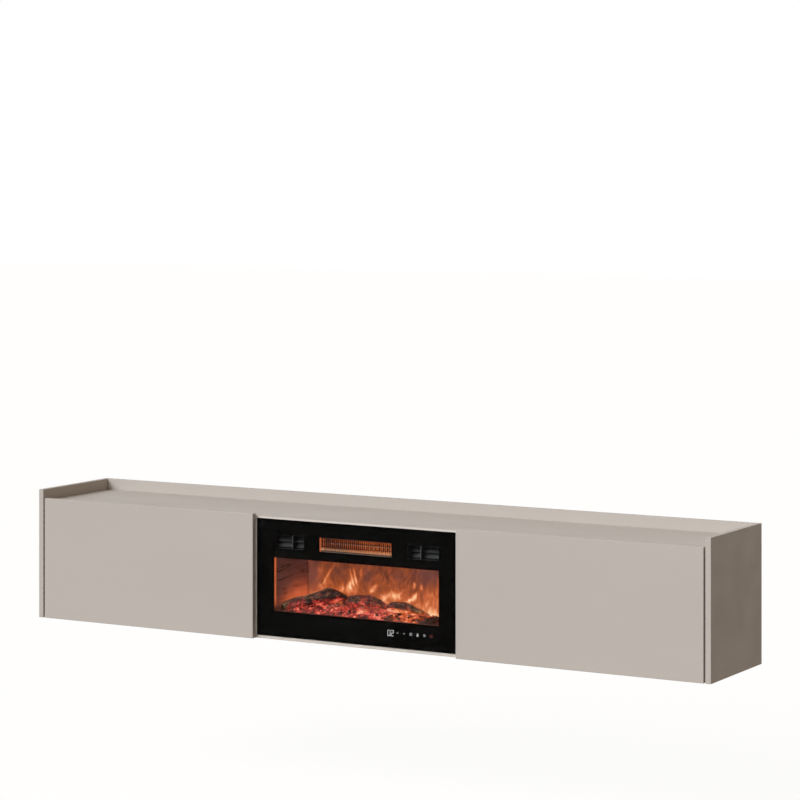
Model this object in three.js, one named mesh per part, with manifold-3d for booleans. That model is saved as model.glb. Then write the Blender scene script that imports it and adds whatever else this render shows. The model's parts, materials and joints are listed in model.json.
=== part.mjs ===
// Wall-hung TV cabinet with two drop-down doors and an electric fireplace between them.
// Lengths are millimetres. X runs to the right, Y towards the wall and Z up.
// The origin is on the wall, at the middle of the upper rail's rear face. The pieces are laid
// out from the wall (y = 0) and from the underside (z = 0), and the whole group is then lowered.

import * as THREE from 'three';
import { mergeVertices } from 'three/addons/utils/BufferGeometryUtils.js';
import Module from 'manifold-3d';

const wasm = await Module();
wasm.setup();

// Fits shared by all pieces
const seat = 0.3; // gap between two pieces that rest on each other
const overrun = 2; // how far a cutting body runs past the face that it cuts
const weld = 0.1; // how far joined bodies reach into each other

// Cabinet boards
const cabinet = { width: 2000, depth: 315, height: 351, board: 15, edge: 0.8 };
const tray = { sink: 30 };
const rail = { upperHeight: 120, lowerHeight: 75 };
const backSheet = { thickness: 3, lap: 20, cableHoleRadius: 30 };

// Hanging brackets in the upper rear corners, with the wall screws' holes through the rail
const hanger = {
  steel: 2.5, rearLeg: 44, sideLeg: 60, height: 40, underTop: 6,
  holeRadius: 4, holeInset: 29, holeSpacing: 20,
};

// Drop-down doors. The hinge axis is virtual, inside the door near its lower front edge.
const door = { thickness: 15, gap: 2, gripRise: 6, sideGap: 4.5, opening: 606, axisInset: 4 };

// Concealed hinges: a cup in the door and an arm on the bottom panel
const cup = {
  radius: 17.2, depth: 11.2, wall: 2, centreRise: 23.5, flangeRadius: 18.7, flange: 0.9,
  wingHalf: 26, wingHeight: 14, inset: 90, bossWall: 1.2,
};
const hingeArm = {
  width: 12, noseReach: 6, noseRise: 2, noseHeight: 10, shoulderRise: 18, shoulderBack: 9,
  length: 78, web: 4, screwRadius: 2.6, tailHeight: 13,
};
const hingePlate = { start: 26, length: 42, halfWidth: 20, thickness: 2.7 };

// Slotted stay: an arm pivoted on the door, whose slot runs on a post on the side panel.
// The post stands on the circle that the arm's pivot travels round the hinge axis, so the arm
// turns by exactly half the door's angle.
const stay = {
  radius: 130, postAngle: 60, pivotStand: 12, steel: 2.5, width: 16, slotRadius: 3.4,
  slotSpare: 1, pivotHoleRadius: 3.4, pinRadius: 3, headRadius: 5.5, head: 1.4, running: 0.4,
  wallGap: 4.2, baseRadius: 13, base: 2,
};
const stayBracket = { steel: 2, width: 26, height: 36, fold: 2, earRadius: 10 };

// Magnetic catch under the top panel and its strike plate on the door
const catchBody = { width: 40, depth: 16, height: 12, faceGap: 0.2, poleWidth: 30, poleHeight: 3 };
const strike = { width: 34, height: 12, thickness: 1, corner: 3 };

// Glass front of the fireplace and the openings in it. Bands are heights between openings.
const glass = {
  thickness: 4, setBack: 12, sideGap: 2.5, underLap: 7, topReveal: 5.5, bayLap: 9.5, edge: 0.5,
};
const print = { gap: 0.15, thickness: 0.15 };
const band = { control: 67, middle: 24.5, top: 39.7 };
const view = { margin: 54.5 };
const outlet = { width: 216, height: 36.3, corner: 3 };
const vent = { width: 91, height: 35.5, inner: 155, corner: 5 };

// Steel front frame behind the glass, with a folded lip round the window
const frame = { steel: 1.2, gap: 0.5, bayGap: 1, lip: 8, lipWall: 1 };

// Firebox
const firebox = { wall: 1.2, rearSpace: 52.5, floorDrop: 13 };
const screen = { thickness: 2 };
const bed = { rearStrip: 42, frontRim: 9, rearRim: 4.5, crown: 17, lump: 3.2, columnCount: 23, rowCount: 7 };
const log = {
  radius: 17, sideCount: 12, stationCount: 11, grooveShare: 0.07, knotShare: 0.08, ridgeShare: 0.2,
};

// Flame effect behind the screen
const spindle = {
  behindScreen: 22.5, rise: 22, shaftRadius: 2.5, endInset: 23, bladeReach: 11, bladeWidth: 16,
  bladeSteel: 0.6, bladePitch: 48, hubRadius: 4,
};
const bush = { width: 6, headRadius: 9, foot: 18, post: 8, steel: 1.6 };
const spindleMotor = { radius: 20, length: 16, boss: 6, bossRadius: 6, boreDepth: 6 };
const leds = { boardHeight: 14, steel: 1.2, behindScreen: 4, foot: 10, pitch: 22, size: 4, rise: 1.6 };

// Steel casing
const casing = { steel: 1, sideGap: 4, topGap: 3, rearGap: 60 };
const rearSlot = { length: 60, height: 4, pitchX: 76, pitchZ: 12, rowCount: 3, columnCount: 6, top: 40 };
const shelf = { steel: 1.2, outletSill: 12.3, flange: 10 };

// Heater
const duct = { steel: 1.2, clearance: 0.5, throat: 11, length: 28 };
const element = {
  spreadX: 3, spreadZ: 6.85, depth: 16, rim: 5, bar: 5, finPitch: 6.1, finSheet: 0.5, inset: 2.5,
};
const grille = {
  setBack: 10, rim: 2, bar: 2.4, depth: 2.5, pitch: 6.1, rodRadius: 1, corner: 2.6,
};
const blower = {
  wheelRadius: 20, endInset: 13, bladeCount: 12, bladeReach: 6, blade: 1, disc: 1.6,
  shaftRadius: 3, clearance: 3, steel: 1.2, throat: 12, sideGap: 2, axisRise: 1.5,
  shaftPast: 8, intakeLift: 6,
};
const blowerMotor = { radius: 19, length: 34, boss: 5, bossRadius: 8, edge: 3 };

// Louvred vents
const louvre = {
  wall: 1, clearance: 0.5, depth: 34, slat: 1.2, slatStart: 14, slatReach: 14, slatRise: 14.6,
  slatPitch: 14, firstSlat: -11, slatCount: 4, divider: 2, dividerInner: 36, dividerStart: 0.6,
};

// Touch and display module behind the glass
const control = {
  left: 88, width: 150, height: 34, bottom: 23, board: 1.6, margin: 4, stand: 0.3,
  padRadius: 4.4, padFirst: 39, padPitch: 19.6, padCount: 6, padRise: 17,
  displayLeft: 5, displayWidth: 26, displayHeight: 18,
};
const gland = { side: 220, rise: 24, radius: 9, bodyRadius: 6.3, boreRadius: 3.5, flange: 3, nose: 14 };

// Counts of facets round a turned body, and along a quarter of a drawn arc
const round = 16;
const roundSmall = 12;
const roundTiny = 6;
const arcFine = 6;
const arcMedium = 3;
const arcCoarse = 2;

// Arcs in sheet sections, in degrees from and to, with their counts of chords
const earArc = { from: -60, to: 60, count: 4 };
const bushArc = { from: -20, to: 200, count: 8 };
const scrollArc = { from: -110, to: 75, count: 16 };
const tongueArc = { from: 150, to: 165, count: 2 };
const doorSwing = 90;

// Finishes
const finishes = {
  cabinetFoil: { color: 0xbab2aa, roughness: 0.55, metalness: 0 },
  backSheet: { color: 0xb4a898, roughness: 0.8, metalness: 0 },
  zincSteel: { color: 0xa9abad, roughness: 0.35, metalness: 1 },
  blackGlass: { color: 0x0a0a0b, roughness: 0.05, metalness: 0 },
  blackPrint: { color: 0x060606, roughness: 0.4, metalness: 0 },
  blackSteel: { color: 0x1a1a1b, roughness: 0.55, metalness: 0.4 },
  casingSteel: { color: 0x2a2a2c, roughness: 0.5, metalness: 0.5 },
  firebrick: { color: 0x5a3a2c, roughness: 0.85, metalness: 0 },
  flamePicture: { color: 0xd2683a, roughness: 0.5, metalness: 0 },
  ember: { color: 0xb8402c, roughness: 0.8, metalness: 0 },
  charredWood: { color: 0x3a2a22, roughness: 0.9, metalness: 0 },
  aluminium: { color: 0xc8cacc, roughness: 0.3, metalness: 1 },
  blackPlastic: { color: 0x17171a, roughness: 0.5, metalness: 0 },
  greyPlastic: { color: 0x4c4e50, roughness: 0.6, metalness: 0 },
  circuitBoard: { color: 0x1f4a34, roughness: 0.5, metalness: 0 },
};

// Solid helpers

function solidOf(geometry) {
  geometry.deleteAttribute('normal');
  geometry.deleteAttribute('uv');
  const merged = mergeVertices(geometry);
  const position = merged.attributes.position;
  const corners = [];
  let volume = 0;
  const [a, b, c] = [new THREE.Vector3(), new THREE.Vector3(), new THREE.Vector3()];
  for (let i = 0; i < merged.index.count; i += 3) {
    const [ia, ib, ic] = [0, 1, 2].map((k) => merged.index.getX(i + k));
    if (ia === ib || ib === ic || ic === ia) continue;
    corners.push([ia, ib, ic]);
    a.fromBufferAttribute(position, ia);
    b.fromBufferAttribute(position, ib);
    c.fromBufferAttribute(position, ic);
    volume += a.dot(b.cross(c));
  }
  const outward = volume > 0 ? corners : corners.map(([p, q, r]) => [p, r, q]);
  return new wasm.Manifold(new wasm.Mesh({
    numProp: 3,
    vertProperties: new Float32Array(position.array),
    triVerts: new Uint32Array(outward.flat()),
  }));
}

function geometryOf(solid) {
  const mesh = solid.getMesh();
  const geometry = new THREE.BufferGeometry();
  geometry.setAttribute('position', new THREE.BufferAttribute(new Float32Array(mesh.vertProperties), 3));
  geometry.setIndex(new THREE.BufferAttribute(new Uint32Array(mesh.triVerts), 1));
  geometry.computeVertexNormals();
  return geometry;
}

function joined(...solids) {
  return solids.reduce((whole, next) => whole.add(next));
}

function sorted(p, q) {
  return p < q ? [p, q] : [q, p];
}

function block(xs, ys, zs) {
  const [x, y, z] = [sorted(...xs), sorted(...ys), sorted(...zs)];
  const geometry = new THREE.BoxGeometry(x[1] - x[0], y[1] - y[0], z[1] - z[0]);
  geometry.translate((x[0] + x[1]) / 2, (y[0] + y[1]) / 2, (z[0] + z[1]) / 2);
  return solidOf(geometry);
}

// Which world axes an outline's two directions and the extrusion follow
const planes = {
  x: new THREE.Matrix4().makeBasis(
    new THREE.Vector3(0, 1, 0), new THREE.Vector3(0, 0, 1), new THREE.Vector3(1, 0, 0)),
  y: new THREE.Matrix4().makeBasis(
    new THREE.Vector3(1, 0, 0), new THREE.Vector3(0, 0, 1), new THREE.Vector3(0, -1, 0)),
  z: new THREE.Matrix4(),
};

// An outline pushed along one axis, from low to high, with a small chamfer if an edge is given.
// The outline is drawn in (y, z) for axis x, in (x, z) for axis y and in (x, y) for axis z.
function prism(axis, shape, span, edge = 0, arcs = arcFine) {
  const [low, high] = sorted(...span);
  const geometry = new THREE.ExtrudeGeometry(shape, {
    steps: 1,
    depth: high - low - 2 * edge,
    bevelEnabled: edge > 0,
    bevelThickness: edge,
    bevelSize: edge,
    bevelOffset: -edge,
    bevelSegments: 1,
    curveSegments: arcs,
  });
  geometry.translate(0, 0, (axis === 'y' ? -high : low) + edge);
  geometry.applyMatrix4(planes[axis]);
  return solidOf(geometry);
}

// A profile of [radius, place along the axis] turned round a line along x, y or z
function turned(axis, profile, centre, sides = round) {
  const geometry = new THREE.LatheGeometry(profile.map(([r, h]) => new THREE.Vector2(r, h)), sides);
  if (axis === 'x') geometry.rotateZ(-Math.PI / 2);
  if (axis === 'z') geometry.rotateX(Math.PI / 2);
  geometry.translate(...centre);
  return solidOf(geometry);
}

function rod(axis, radius, span, centre, sides = roundSmall) {
  const [low, high] = sorted(...span);
  return turned(axis, [[0, low], [radius, low], [radius, high], [0, high]], centre, sides);
}

// Outlines

function outline(points) {
  return new THREE.Shape(points.map(([u, v]) => new THREE.Vector2(u, v)));
}

function rectangle(us, vs, cut = 0) {
  const [[u0, u1], [v0, v1]] = [sorted(...us), sorted(...vs)];
  if (cut === 0) return outline([[u0, v0], [u1, v0], [u1, v1], [u0, v1]]);
  return outline([
    [u0 + cut, v0], [u1 - cut, v0], [u1, v0 + cut], [u1, v1 - cut],
    [u1 - cut, v1], [u0 + cut, v1], [u0, v1 - cut], [u0, v0 + cut],
  ]);
}

function roundedRectangle(us, vs, radius) {
  const [[u0, u1], [v0, v1]] = [sorted(...us), sorted(...vs)];
  const shape = new THREE.Shape();
  shape.absarc(u1 - radius, v0 + radius, radius, -Math.PI / 2, 0);
  shape.absarc(u1 - radius, v1 - radius, radius, 0, Math.PI / 2);
  shape.absarc(u0 + radius, v1 - radius, radius, Math.PI / 2, Math.PI);
  shape.absarc(u0 + radius, v0 + radius, radius, Math.PI, 1.5 * Math.PI);
  shape.closePath();
  return shape;
}

function circle(u, v, radius) {
  const shape = new THREE.Shape();
  shape.absarc(u, v, radius, 0, 2 * Math.PI);
  return shape;
}

// A bar with two round ends whose centres are at u0 and u1
function stadium(u0, u1, v, radius) {
  const shape = new THREE.Shape();
  shape.absarc(u0, v, radius, Math.PI / 2, 1.5 * Math.PI);
  shape.absarc(u1, v, radius, -Math.PI / 2, Math.PI / 2);
  shape.closePath();
  return shape;
}

// A sheet of even thickness that follows a line of points
function ribbon(points, thickness) {
  const side = (k) => {
    const [before, after] = [points[Math.max(k - 1, 0)], points[Math.min(k + 1, points.length - 1)]];
    const run = new THREE.Vector2(after[0] - before[0], after[1] - before[1]).normalize();
    return [-run.y * thickness / 2, run.x * thickness / 2];
  };
  const left = points.map(([u, v], k) => [u + side(k)[0], v + side(k)[1]]);
  const right = points.map(([u, v], k) => [u - side(k)[0], v - side(k)[1]]);
  return outline([...left, ...right.reverse()]);
}

function arcPoints(centre, radius, from, to, count) {
  return Array.from({ length: count + 1 }, (unused, k) => {
    const angle = THREE.MathUtils.degToRad(from + (to - from) * k / count);
    return [centre[0] + radius * Math.cos(angle), centre[1] + radius * Math.sin(angle)];
  });
}

// A board with lightly broken edges, and holes through its thickness
function board(axis, us, vs, span, holes = []) {
  const shape = rectangle(us, vs, cabinet.edge);
  shape.holes.push(...holes);
  return prism(axis, shape, span, cabinet.edge, arcFine);
}

// Scene graph helpers

const model = new THREE.Group();
const materials = {};

function finish(name) {
  if (!materials[name]) {
    materials[name] = new THREE.MeshStandardMaterial({ name, ...finishes[name] });
  }
  return materials[name];
}

function add(name, solid, finishName, parent, place = {}) {
  const mesh = new THREE.Mesh(geometryOf(solid), finish(finishName));
  mesh.name = name;
  mesh.position.set(...(place.position ?? [0, 0, 0]));
  mesh.rotation.x = place.turn ?? 0;
  parent.add(mesh);
  return mesh;
}

const sides = [['left', -1], ['right', 1]];

// Places that many pieces share
const frontY = -cabinet.depth;
const behindFront = (distance) => frontY + distance;
const carcaseY = behindFront(door.thickness + door.gap);
const railFrontY = -cabinet.board;
const sideInner = cabinet.width / 2 - cabinet.board;
const trayZ = cabinet.height - tray.sink;
const topUnderZ = trayZ - cabinet.board;
const floorZ = cabinet.board;
const glassHalf = door.opening / 2 - glass.sideGap;
const bayHalf = glassHalf - glass.bayLap;
const partitionOuter = bayHalf + cabinet.board;
const boardRearY = railFrontY - seat;

function buildCarcase(parent) {
  const inner = sideInner - seat;
  for (const [side, s] of sides) {
    const xs = [s * sideInner, s * cabinet.width / 2];
    add(`${side}_side_panel`, board('x', [frontY, 0], [0, cabinet.height], xs), 'cabinetFoil', parent);
    const wall = [s * bayHalf, s * partitionOuter];
    add(`${side}_partition`, board('x', [carcaseY, boardRearY], [floorZ + seat, topUnderZ - seat], wall),
      'cabinetFoil', parent);
  }
  add('top_panel', board('z', [-inner, inner], [carcaseY, boardRearY], [topUnderZ, trayZ]),
    'cabinetFoil', parent);
  add('bottom_panel', board('z', [-inner, inner], [carcaseY, boardRearY], [0, floorZ]),
    'cabinetFoil', parent);
  const screwHoles = sides.flatMap(([, s]) => hangerHoles(s, hanger.holeRadius));
  add('upper_back_rail', board('y', [-inner, inner], [upperRailZ, cabinet.height], [railFrontY, 0],
    screwHoles), 'cabinetFoil', parent);
  add('lower_back_rail', board('y', [-inner, inner], [0, rail.lowerHeight], [railFrontY, 0]),
    'cabinetFoil', parent);
}

const upperRailZ = cabinet.height - rail.upperHeight;

function buildBackSheets(parent) {
  const zs = [floorZ + seat, upperRailZ + backSheet.lap];
  const ys = [boardRearY - backSheet.thickness, boardRearY];
  for (const [side, s] of sides) {
    const xs = [s * (partitionOuter + seat), s * (sideInner - seat)];
    const sheet = rectangle(xs, zs);
    const holeZ = (rail.lowerHeight + upperRailZ) / 2;
    sheet.holes.push(circle((xs[0] + xs[1]) / 2, holeZ, backSheet.cableHoleRadius));
    add(`${side}_back_panel`, prism('y', sheet, ys, 0, roundSmall), 'backSheet', parent);
  }
}

const hangerTopZ = topUnderZ - hanger.underTop;

function hangerHoles(s, radius) {
  const x = s * (sideInner - hanger.holeInset);
  const middle = hangerTopZ - hanger.height / 2;
  return [-1, 1].map((k) => circle(x, middle + k * hanger.holeSpacing / 2, radius));
}

function buildHangers(parent) {
  const bottom = hangerTopZ - hanger.height;
  for (const [side, s] of sides) {
    const corner = s * (sideInner - seat);
    const rear = rectangle([corner, corner - s * hanger.rearLeg], [bottom, hangerTopZ]);
    rear.holes.push(...hangerHoles(s, hanger.holeRadius));
    const sideLeg = rectangle([boardRearY, boardRearY - hanger.sideLeg], [bottom, hangerTopZ]);
    const screwY = boardRearY - hanger.sideLeg / 2;
    for (const k of [-1, 1]) {
      const z = bottom + hanger.height / 2 + k * hanger.holeSpacing / 2;
      sideLeg.holes.push(circle(screwY + k * hanger.holeSpacing / 2, z, hanger.steel));
    }
    add(`${side}_hanging_bracket`, joined(
      prism('y', rear, [boardRearY - hanger.steel, boardRearY], 0, arcMedium),
      prism('x', sideLeg, [corner, corner - s * hanger.steel], 0, arcMedium),
    ), 'zincSteel', parent);
  }
}

// Doors and what is fixed on them
const doorOuter = sideInner - door.sideGap;
const doorInner = door.opening / 2;
const doorBackY = behindFront(door.thickness);
const doorTopZ = trayZ + door.gripRise;
const axisY = behindFront(door.axisInset);
const axisZ = door.axisInset;
const cupBottomY = doorBackY + seat - cup.depth;
const hingeXs = [['outer', doorOuter - cup.inset], ['inner', doorInner + cup.inset]];

function buildDoor(side, s, parent) {
  let panel = board('y', [s * doorInner, s * doorOuter], [0, doorTopZ], [frontY, doorBackY]);
  for (const [, x] of hingeXs) {
    const bore = [cupBottomY - seat, doorBackY + overrun];
    panel = panel.subtract(rod('y', cup.radius + seat, bore, [s * x, 0, cup.centreRise], round));
  }
  add(`${side}_door`, panel, 'cabinetFoil', parent);
}

function buildHingeCups(side, s, parent) {
  const flangeY = doorBackY + seat;
  for (const [place, x] of hingeXs) {
    const bowl = turned('y', [
      [0, cupBottomY],
      [cup.radius, cupBottomY],
      [cup.radius, flangeY + weld],
      [cup.flangeRadius, flangeY + weld],
      [cup.flangeRadius, flangeY + cup.flange],
      [cup.radius - cup.wall, flangeY + cup.flange],
      [cup.radius - cup.wall, cupBottomY + cup.bossWall],
      [0, cupBottomY + cup.bossWall],
    ], [s * x, 0, cup.centreRise]);
    const wing = stadium(s * x - cup.wingHalf, s * x + cup.wingHalf, cup.centreRise, cup.wingHeight / 2);
    const wings = prism('y', wing, [flangeY, flangeY + cup.flange]).subtract(
      rod('y', cup.radius - cup.wall / 2, [flangeY - overrun, flangeY + overrun],
        [s * x, 0, cup.centreRise], round));
    add(`${side}_door_${place}_hinge_cup`, joined(bowl, wings), 'zincSteel', parent);
  }
}

// The arm reaches over the bottom panel's front edge into the cup, and a plate carries it
function buildHingeArms(side, s, parent) {
  const noseY = doorBackY - hingeArm.noseReach;
  const lowZ = floorZ + hingeArm.noseRise;
  const noseTopZ = lowZ + hingeArm.noseHeight;
  const shoulderZ = floorZ + hingeArm.shoulderRise;
  const endY = carcaseY + hingeArm.length;
  const profile = outline([
    [noseY, lowZ],
    [carcaseY + hingePlate.start, lowZ],
    [endY, lowZ],
    [endY, floorZ + hingeArm.tailHeight],
    [carcaseY + hingeArm.shoulderBack, shoulderZ],
    [noseY + hingeArm.web, noseTopZ],
    [noseY, noseTopZ - hingeArm.web],
  ]);
  const plateYs = [carcaseY + hingePlate.start, carcaseY + hingePlate.start + hingePlate.length];
  const plateMiddle = (plateYs[0] + plateYs[1]) / 2;
  for (const [place, x] of hingeXs) {
    const arm = prism('x', profile, [s * x - hingeArm.width / 2, s * x + hingeArm.width / 2]);
    const plate = rectangle(
      [s * x - hingePlate.halfWidth, s * x + hingePlate.halfWidth], plateYs, hingeArm.web);
    for (const k of [-1, 1]) {
      const holeX = s * x + k * (hingePlate.halfWidth + hingeArm.width / 2) / 2;
      plate.holes.push(circle(holeX, plateMiddle, hingeArm.screwRadius));
    }
    add(`${side}_door_${place}_hinge_arm`, joined(
      arm,
      prism('z', plate, [floorZ + seat, floorZ + seat + hingePlate.thickness], 0, arcMedium),
    ), 'zincSteel', parent);
  }
}

// Stay geometry in the plane of the door's swing
const pivotAngle = THREE.MathUtils.radToDeg(
  Math.acos((door.thickness - door.axisInset + stay.pivotStand) / stay.radius));
const onSwing = (angle) => arcPoints([axisY, axisZ], stay.radius, angle, angle, 1)[0];
const [pivotY, pivotZ] = onSwing(pivotAngle);
const [postY, postZ] = onSwing(stay.postAngle);
const chord = (angle) => 2 * stay.radius * Math.sin(THREE.MathUtils.degToRad(angle) / 2);
const slotStart = chord(pivotAngle - stay.postAngle) - stay.slotSpare;
const slotEnd = chord(pivotAngle - stay.postAngle + doorSwing) + stay.slotSpare;
const armTurn = THREE.MathUtils.degToRad((pivotAngle + stay.postAngle) / 2 - 90);
const armOuterX = sideInner - stay.wallGap - stay.base;
const armInnerX = armOuterX - stay.steel;

function buildStayArm(side, s, parent) {
  const bar = stadium(0, slotEnd, 0, stay.width / 2);
  bar.holes.push(circle(0, 0, stay.pivotHoleRadius));
  bar.holes.push(stadium(slotStart, slotEnd, 0, stay.slotRadius));
  add(`${side}_stay_arm`, prism('x', bar, [s * armInnerX, s * armOuterX]), 'zincSteel', parent,
    { position: [0, pivotY, pivotZ], turn: armTurn });
}

// Post on the side panel: a round base, a shoulder, the pin in the slot and its head
function buildStayPost(side, s, parent) {
  const wallX = sideInner - seat;
  const shoulderX = armOuterX + stay.running;
  const headX = armInnerX - stay.running;
  const profile = [
    [0, wallX],
    [stay.baseRadius, wallX],
    [stay.baseRadius, wallX - stay.base],
    [stay.headRadius, wallX - stay.base],
    [stay.headRadius, shoulderX],
    [stay.pinRadius, shoulderX],
    [stay.pinRadius, headX],
    [stay.headRadius, headX],
    [stay.headRadius, headX - stay.head],
    [0, headX - stay.head],
  ].map(([r, x]) => [r, s * x]);
  add(`${side}_stay_post`, turned('x', profile, [0, postY, postZ], roundSmall), 'zincSteel', parent);
}

// Angle bracket on the door with an upright ear, whose pin carries the arm
function buildStayBracket(side, s, parent) {
  const earX = [armInnerX - stay.running - stayBracket.steel, armInnerX - stay.running];
  const baseXs = [s * earX[1], s * (earX[1] - stayBracket.width)];
  const baseYs = [doorBackY + seat, doorBackY + seat + stayBracket.steel];
  const baseZs = [pivotZ - stayBracket.height / 2, pivotZ + stayBracket.height / 2];
  const foot = rectangle(baseXs, baseZs, stayBracket.fold);
  const holeX = (baseXs[0] + s * -stayBracket.steel + baseXs[1]) / 2;
  for (const k of [-1, 1]) {
    foot.holes.push(circle(holeX, pivotZ + k * stayBracket.height / 4, hingeArm.screwRadius));
  }
  const ear = outline([
    [baseYs[0], baseZs[0] + stayBracket.fold],
    [pivotY, pivotZ - stayBracket.earRadius],
    ...arcPoints([pivotY, pivotZ], stayBracket.earRadius, earArc.from, earArc.to, earArc.count),
    [pivotY, pivotZ + stayBracket.earRadius],
    [baseYs[0], baseZs[1] - stayBracket.fold],
  ]);
  const pinEnd = armOuterX + stay.running + stay.head;
  const pin = turned('x', [
    [0, earX[0] + weld],
    [stay.pinRadius, earX[0] + weld],
    [stay.pinRadius, armOuterX + stay.running],
    [stay.pinRadius + stay.head, armOuterX + stay.running],
    [stay.pinRadius + stay.head, pinEnd],
    [0, pinEnd],
  ].map(([r, x]) => [r, s * x]), [0, pivotY, pivotZ], roundSmall);
  add(`${side}_stay_bracket`, joined(
    prism('y', foot, baseYs, 0, arcMedium),
    prism('x', ear, earX.map((x) => s * x)),
    pin,
  ), 'zincSteel', parent);
}

// Magnetic catch at the middle of each door
const catchX = (doorInner + doorOuter) / 2;

function buildCatch(side, s, parent) {
  const faceY = carcaseY + catchBody.faceGap;
  const topZ = topUnderZ - seat;
  const bottomZ = topZ - catchBody.height;
  const half = catchBody.width / 2;
  const shell = outline([
    [faceY, bottomZ],
    [faceY + catchBody.depth, bottomZ + catchBody.height / 3],
    [faceY + catchBody.depth, topZ],
    [faceY, topZ],
  ]);
  const middleZ = (bottomZ + topZ) / 2;
  let body = prism('x', shell, [s * catchX - half, s * catchX + half]);
  for (const k of [-1, 1]) {
    const z = middleZ + k * catchBody.poleHeight;
    body = body.subtract(block(
      [s * catchX - catchBody.poleWidth / 2, s * catchX + catchBody.poleWidth / 2],
      [faceY - overrun, faceY + catchBody.poleHeight / 3],
      [z - catchBody.poleHeight / 2, z + catchBody.poleHeight / 2]));
  }
  add(`${side}_magnetic_catch`, body, 'greyPlastic', parent);
}

function buildStrike(side, s, parent) {
  const middleZ = topUnderZ - seat - catchBody.height / 2;
  const plate = roundedRectangle(
    [s * catchX - strike.width / 2, s * catchX + strike.width / 2],
    [middleZ - strike.height / 2, middleZ + strike.height / 2], strike.corner);
  plate.holes.push(circle(s * catchX, middleZ, hingeArm.screwRadius));
  add(`${side}_strike_plate`, prism('y', plate, [doorBackY + seat, doorBackY + seat + strike.thickness],
    0, arcMedium), 'zincSteel', parent);
}

// Heights and depths of the fireplace
const glassZ = [floorZ - glass.underLap, trayZ - glass.topReveal];
const glassY = [behindFront(glass.setBack), behindFront(glass.setBack + glass.thickness)];
const viewBottomZ = glassZ[0] + band.control;
const outletTopZ = glassZ[1] - band.top;
const outletZ = [outletTopZ - outlet.height, outletTopZ];
const viewZ = [viewBottomZ, outletZ[0] - band.middle];
const viewX = [view.margin - glassHalf, glassHalf - view.margin];
const outletX = [-outlet.width / 2, outlet.width / 2];
const ventZ = [outletZ[0], outletZ[0] + vent.height];
const printY = [glassY[1] + print.gap, glassY[1] + print.gap + print.thickness];
const frameY = [printY[1] + frame.gap, printY[1] + frame.gap + frame.steel];
const behindFrameY = frameY[1] + seat;
const lipY = frameY[1] + frame.lip;
const casingHalf = bayHalf - casing.sideGap;
const casingZ = [floorZ + seat, topUnderZ - casing.topGap];
const casingY = [behindFrameY, railFrontY - casing.rearGap - casing.steel - seat];
const shelfTopZ = outletZ[0] - shelf.outletSill;
const shelfZ = [shelfTopZ - shelf.steel, shelfTopZ];
const fireboxX = viewX[1];
const fireboxY = [lipY + seat, casingY[1] - firebox.rearSpace];
const fireboxZ = [viewZ[0] - firebox.floorDrop, shelfZ[0] - seat - firebox.wall];
const screenY = [fireboxY[1] + seat, fireboxY[1] + seat + screen.thickness];

function airOpenings(spare = 0) {
  const grow = ([low, high]) => [low - spare, high + spare];
  const holes = [roundedRectangle(grow(outletX), grow(outletZ), outlet.corner + spare)];
  for (const [, s] of sides) {
    const xs = sorted(s * vent.inner, s * (vent.inner + vent.width));
    holes.push(roundedRectangle(grow(xs), grow(ventZ), vent.corner + spare));
  }
  return holes;
}

function buildGlass(parent) {
  const pane = rectangle([-glassHalf, glassHalf], glassZ, glass.edge);
  pane.holes.push(...airOpenings());
  add('front_glass', prism('y', pane, glassY, glass.edge, arcMedium), 'blackGlass', parent);
  const sheet = rectangle([-glassHalf + glass.edge, glassHalf - glass.edge],
    [glassZ[0] + glass.edge, glassZ[1] - glass.edge]);
  sheet.holes.push(rectangle(viewX, viewZ));
  sheet.holes.push(...airOpenings(glass.edge));
  add('glass_print', prism('y', sheet, printY, 0, arcMedium), 'blackPrint', parent);
}

const controlX = [control.left, control.left + control.width];
const controlZ = [glassZ[0] + control.bottom, glassZ[0] + control.bottom + control.height];

function buildFrame(parent) {
  const half = bayHalf - frame.bayGap;
  const plate = rectangle([-half, half], [floorZ + seat, topUnderZ - frame.bayGap]);
  const lipOut = frame.lipWall;
  plate.holes.push(rectangle(viewX, viewZ));
  plate.holes.push(...airOpenings(glass.edge));
  plate.holes.push(rectangle([controlX[0] + control.margin, controlX[1] - control.margin],
    [controlZ[0] + control.margin, controlZ[1] - control.margin]));
  const ring = rectangle([viewX[0] - lipOut, viewX[1] + lipOut], [viewZ[0] - lipOut, viewZ[1] + lipOut]);
  ring.holes.push(rectangle(viewX, viewZ));
  add('front_frame', joined(
    prism('y', plate, frameY, 0, arcMedium),
    prism('y', ring, [frameY[0] + weld, lipY]),
  ), 'blackSteel', parent);
}

function buildFirebox(parent) {
  const wall = firebox.wall;
  const shell = rectangle([-fireboxX - wall, fireboxX + wall], [fireboxZ[0] - wall, fireboxZ[1] + wall]);
  shell.holes.push(rectangle([-fireboxX, fireboxX], fireboxZ));
  add('firebox_liner', prism('y', shell, fireboxY), 'firebrick', parent);
  add('flame_screen', prism('y', rectangle([-fireboxX - wall, fireboxX + wall],
    [fireboxZ[0] - wall, fireboxZ[1] + wall]), screenY), 'flamePicture', parent);
}

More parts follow.
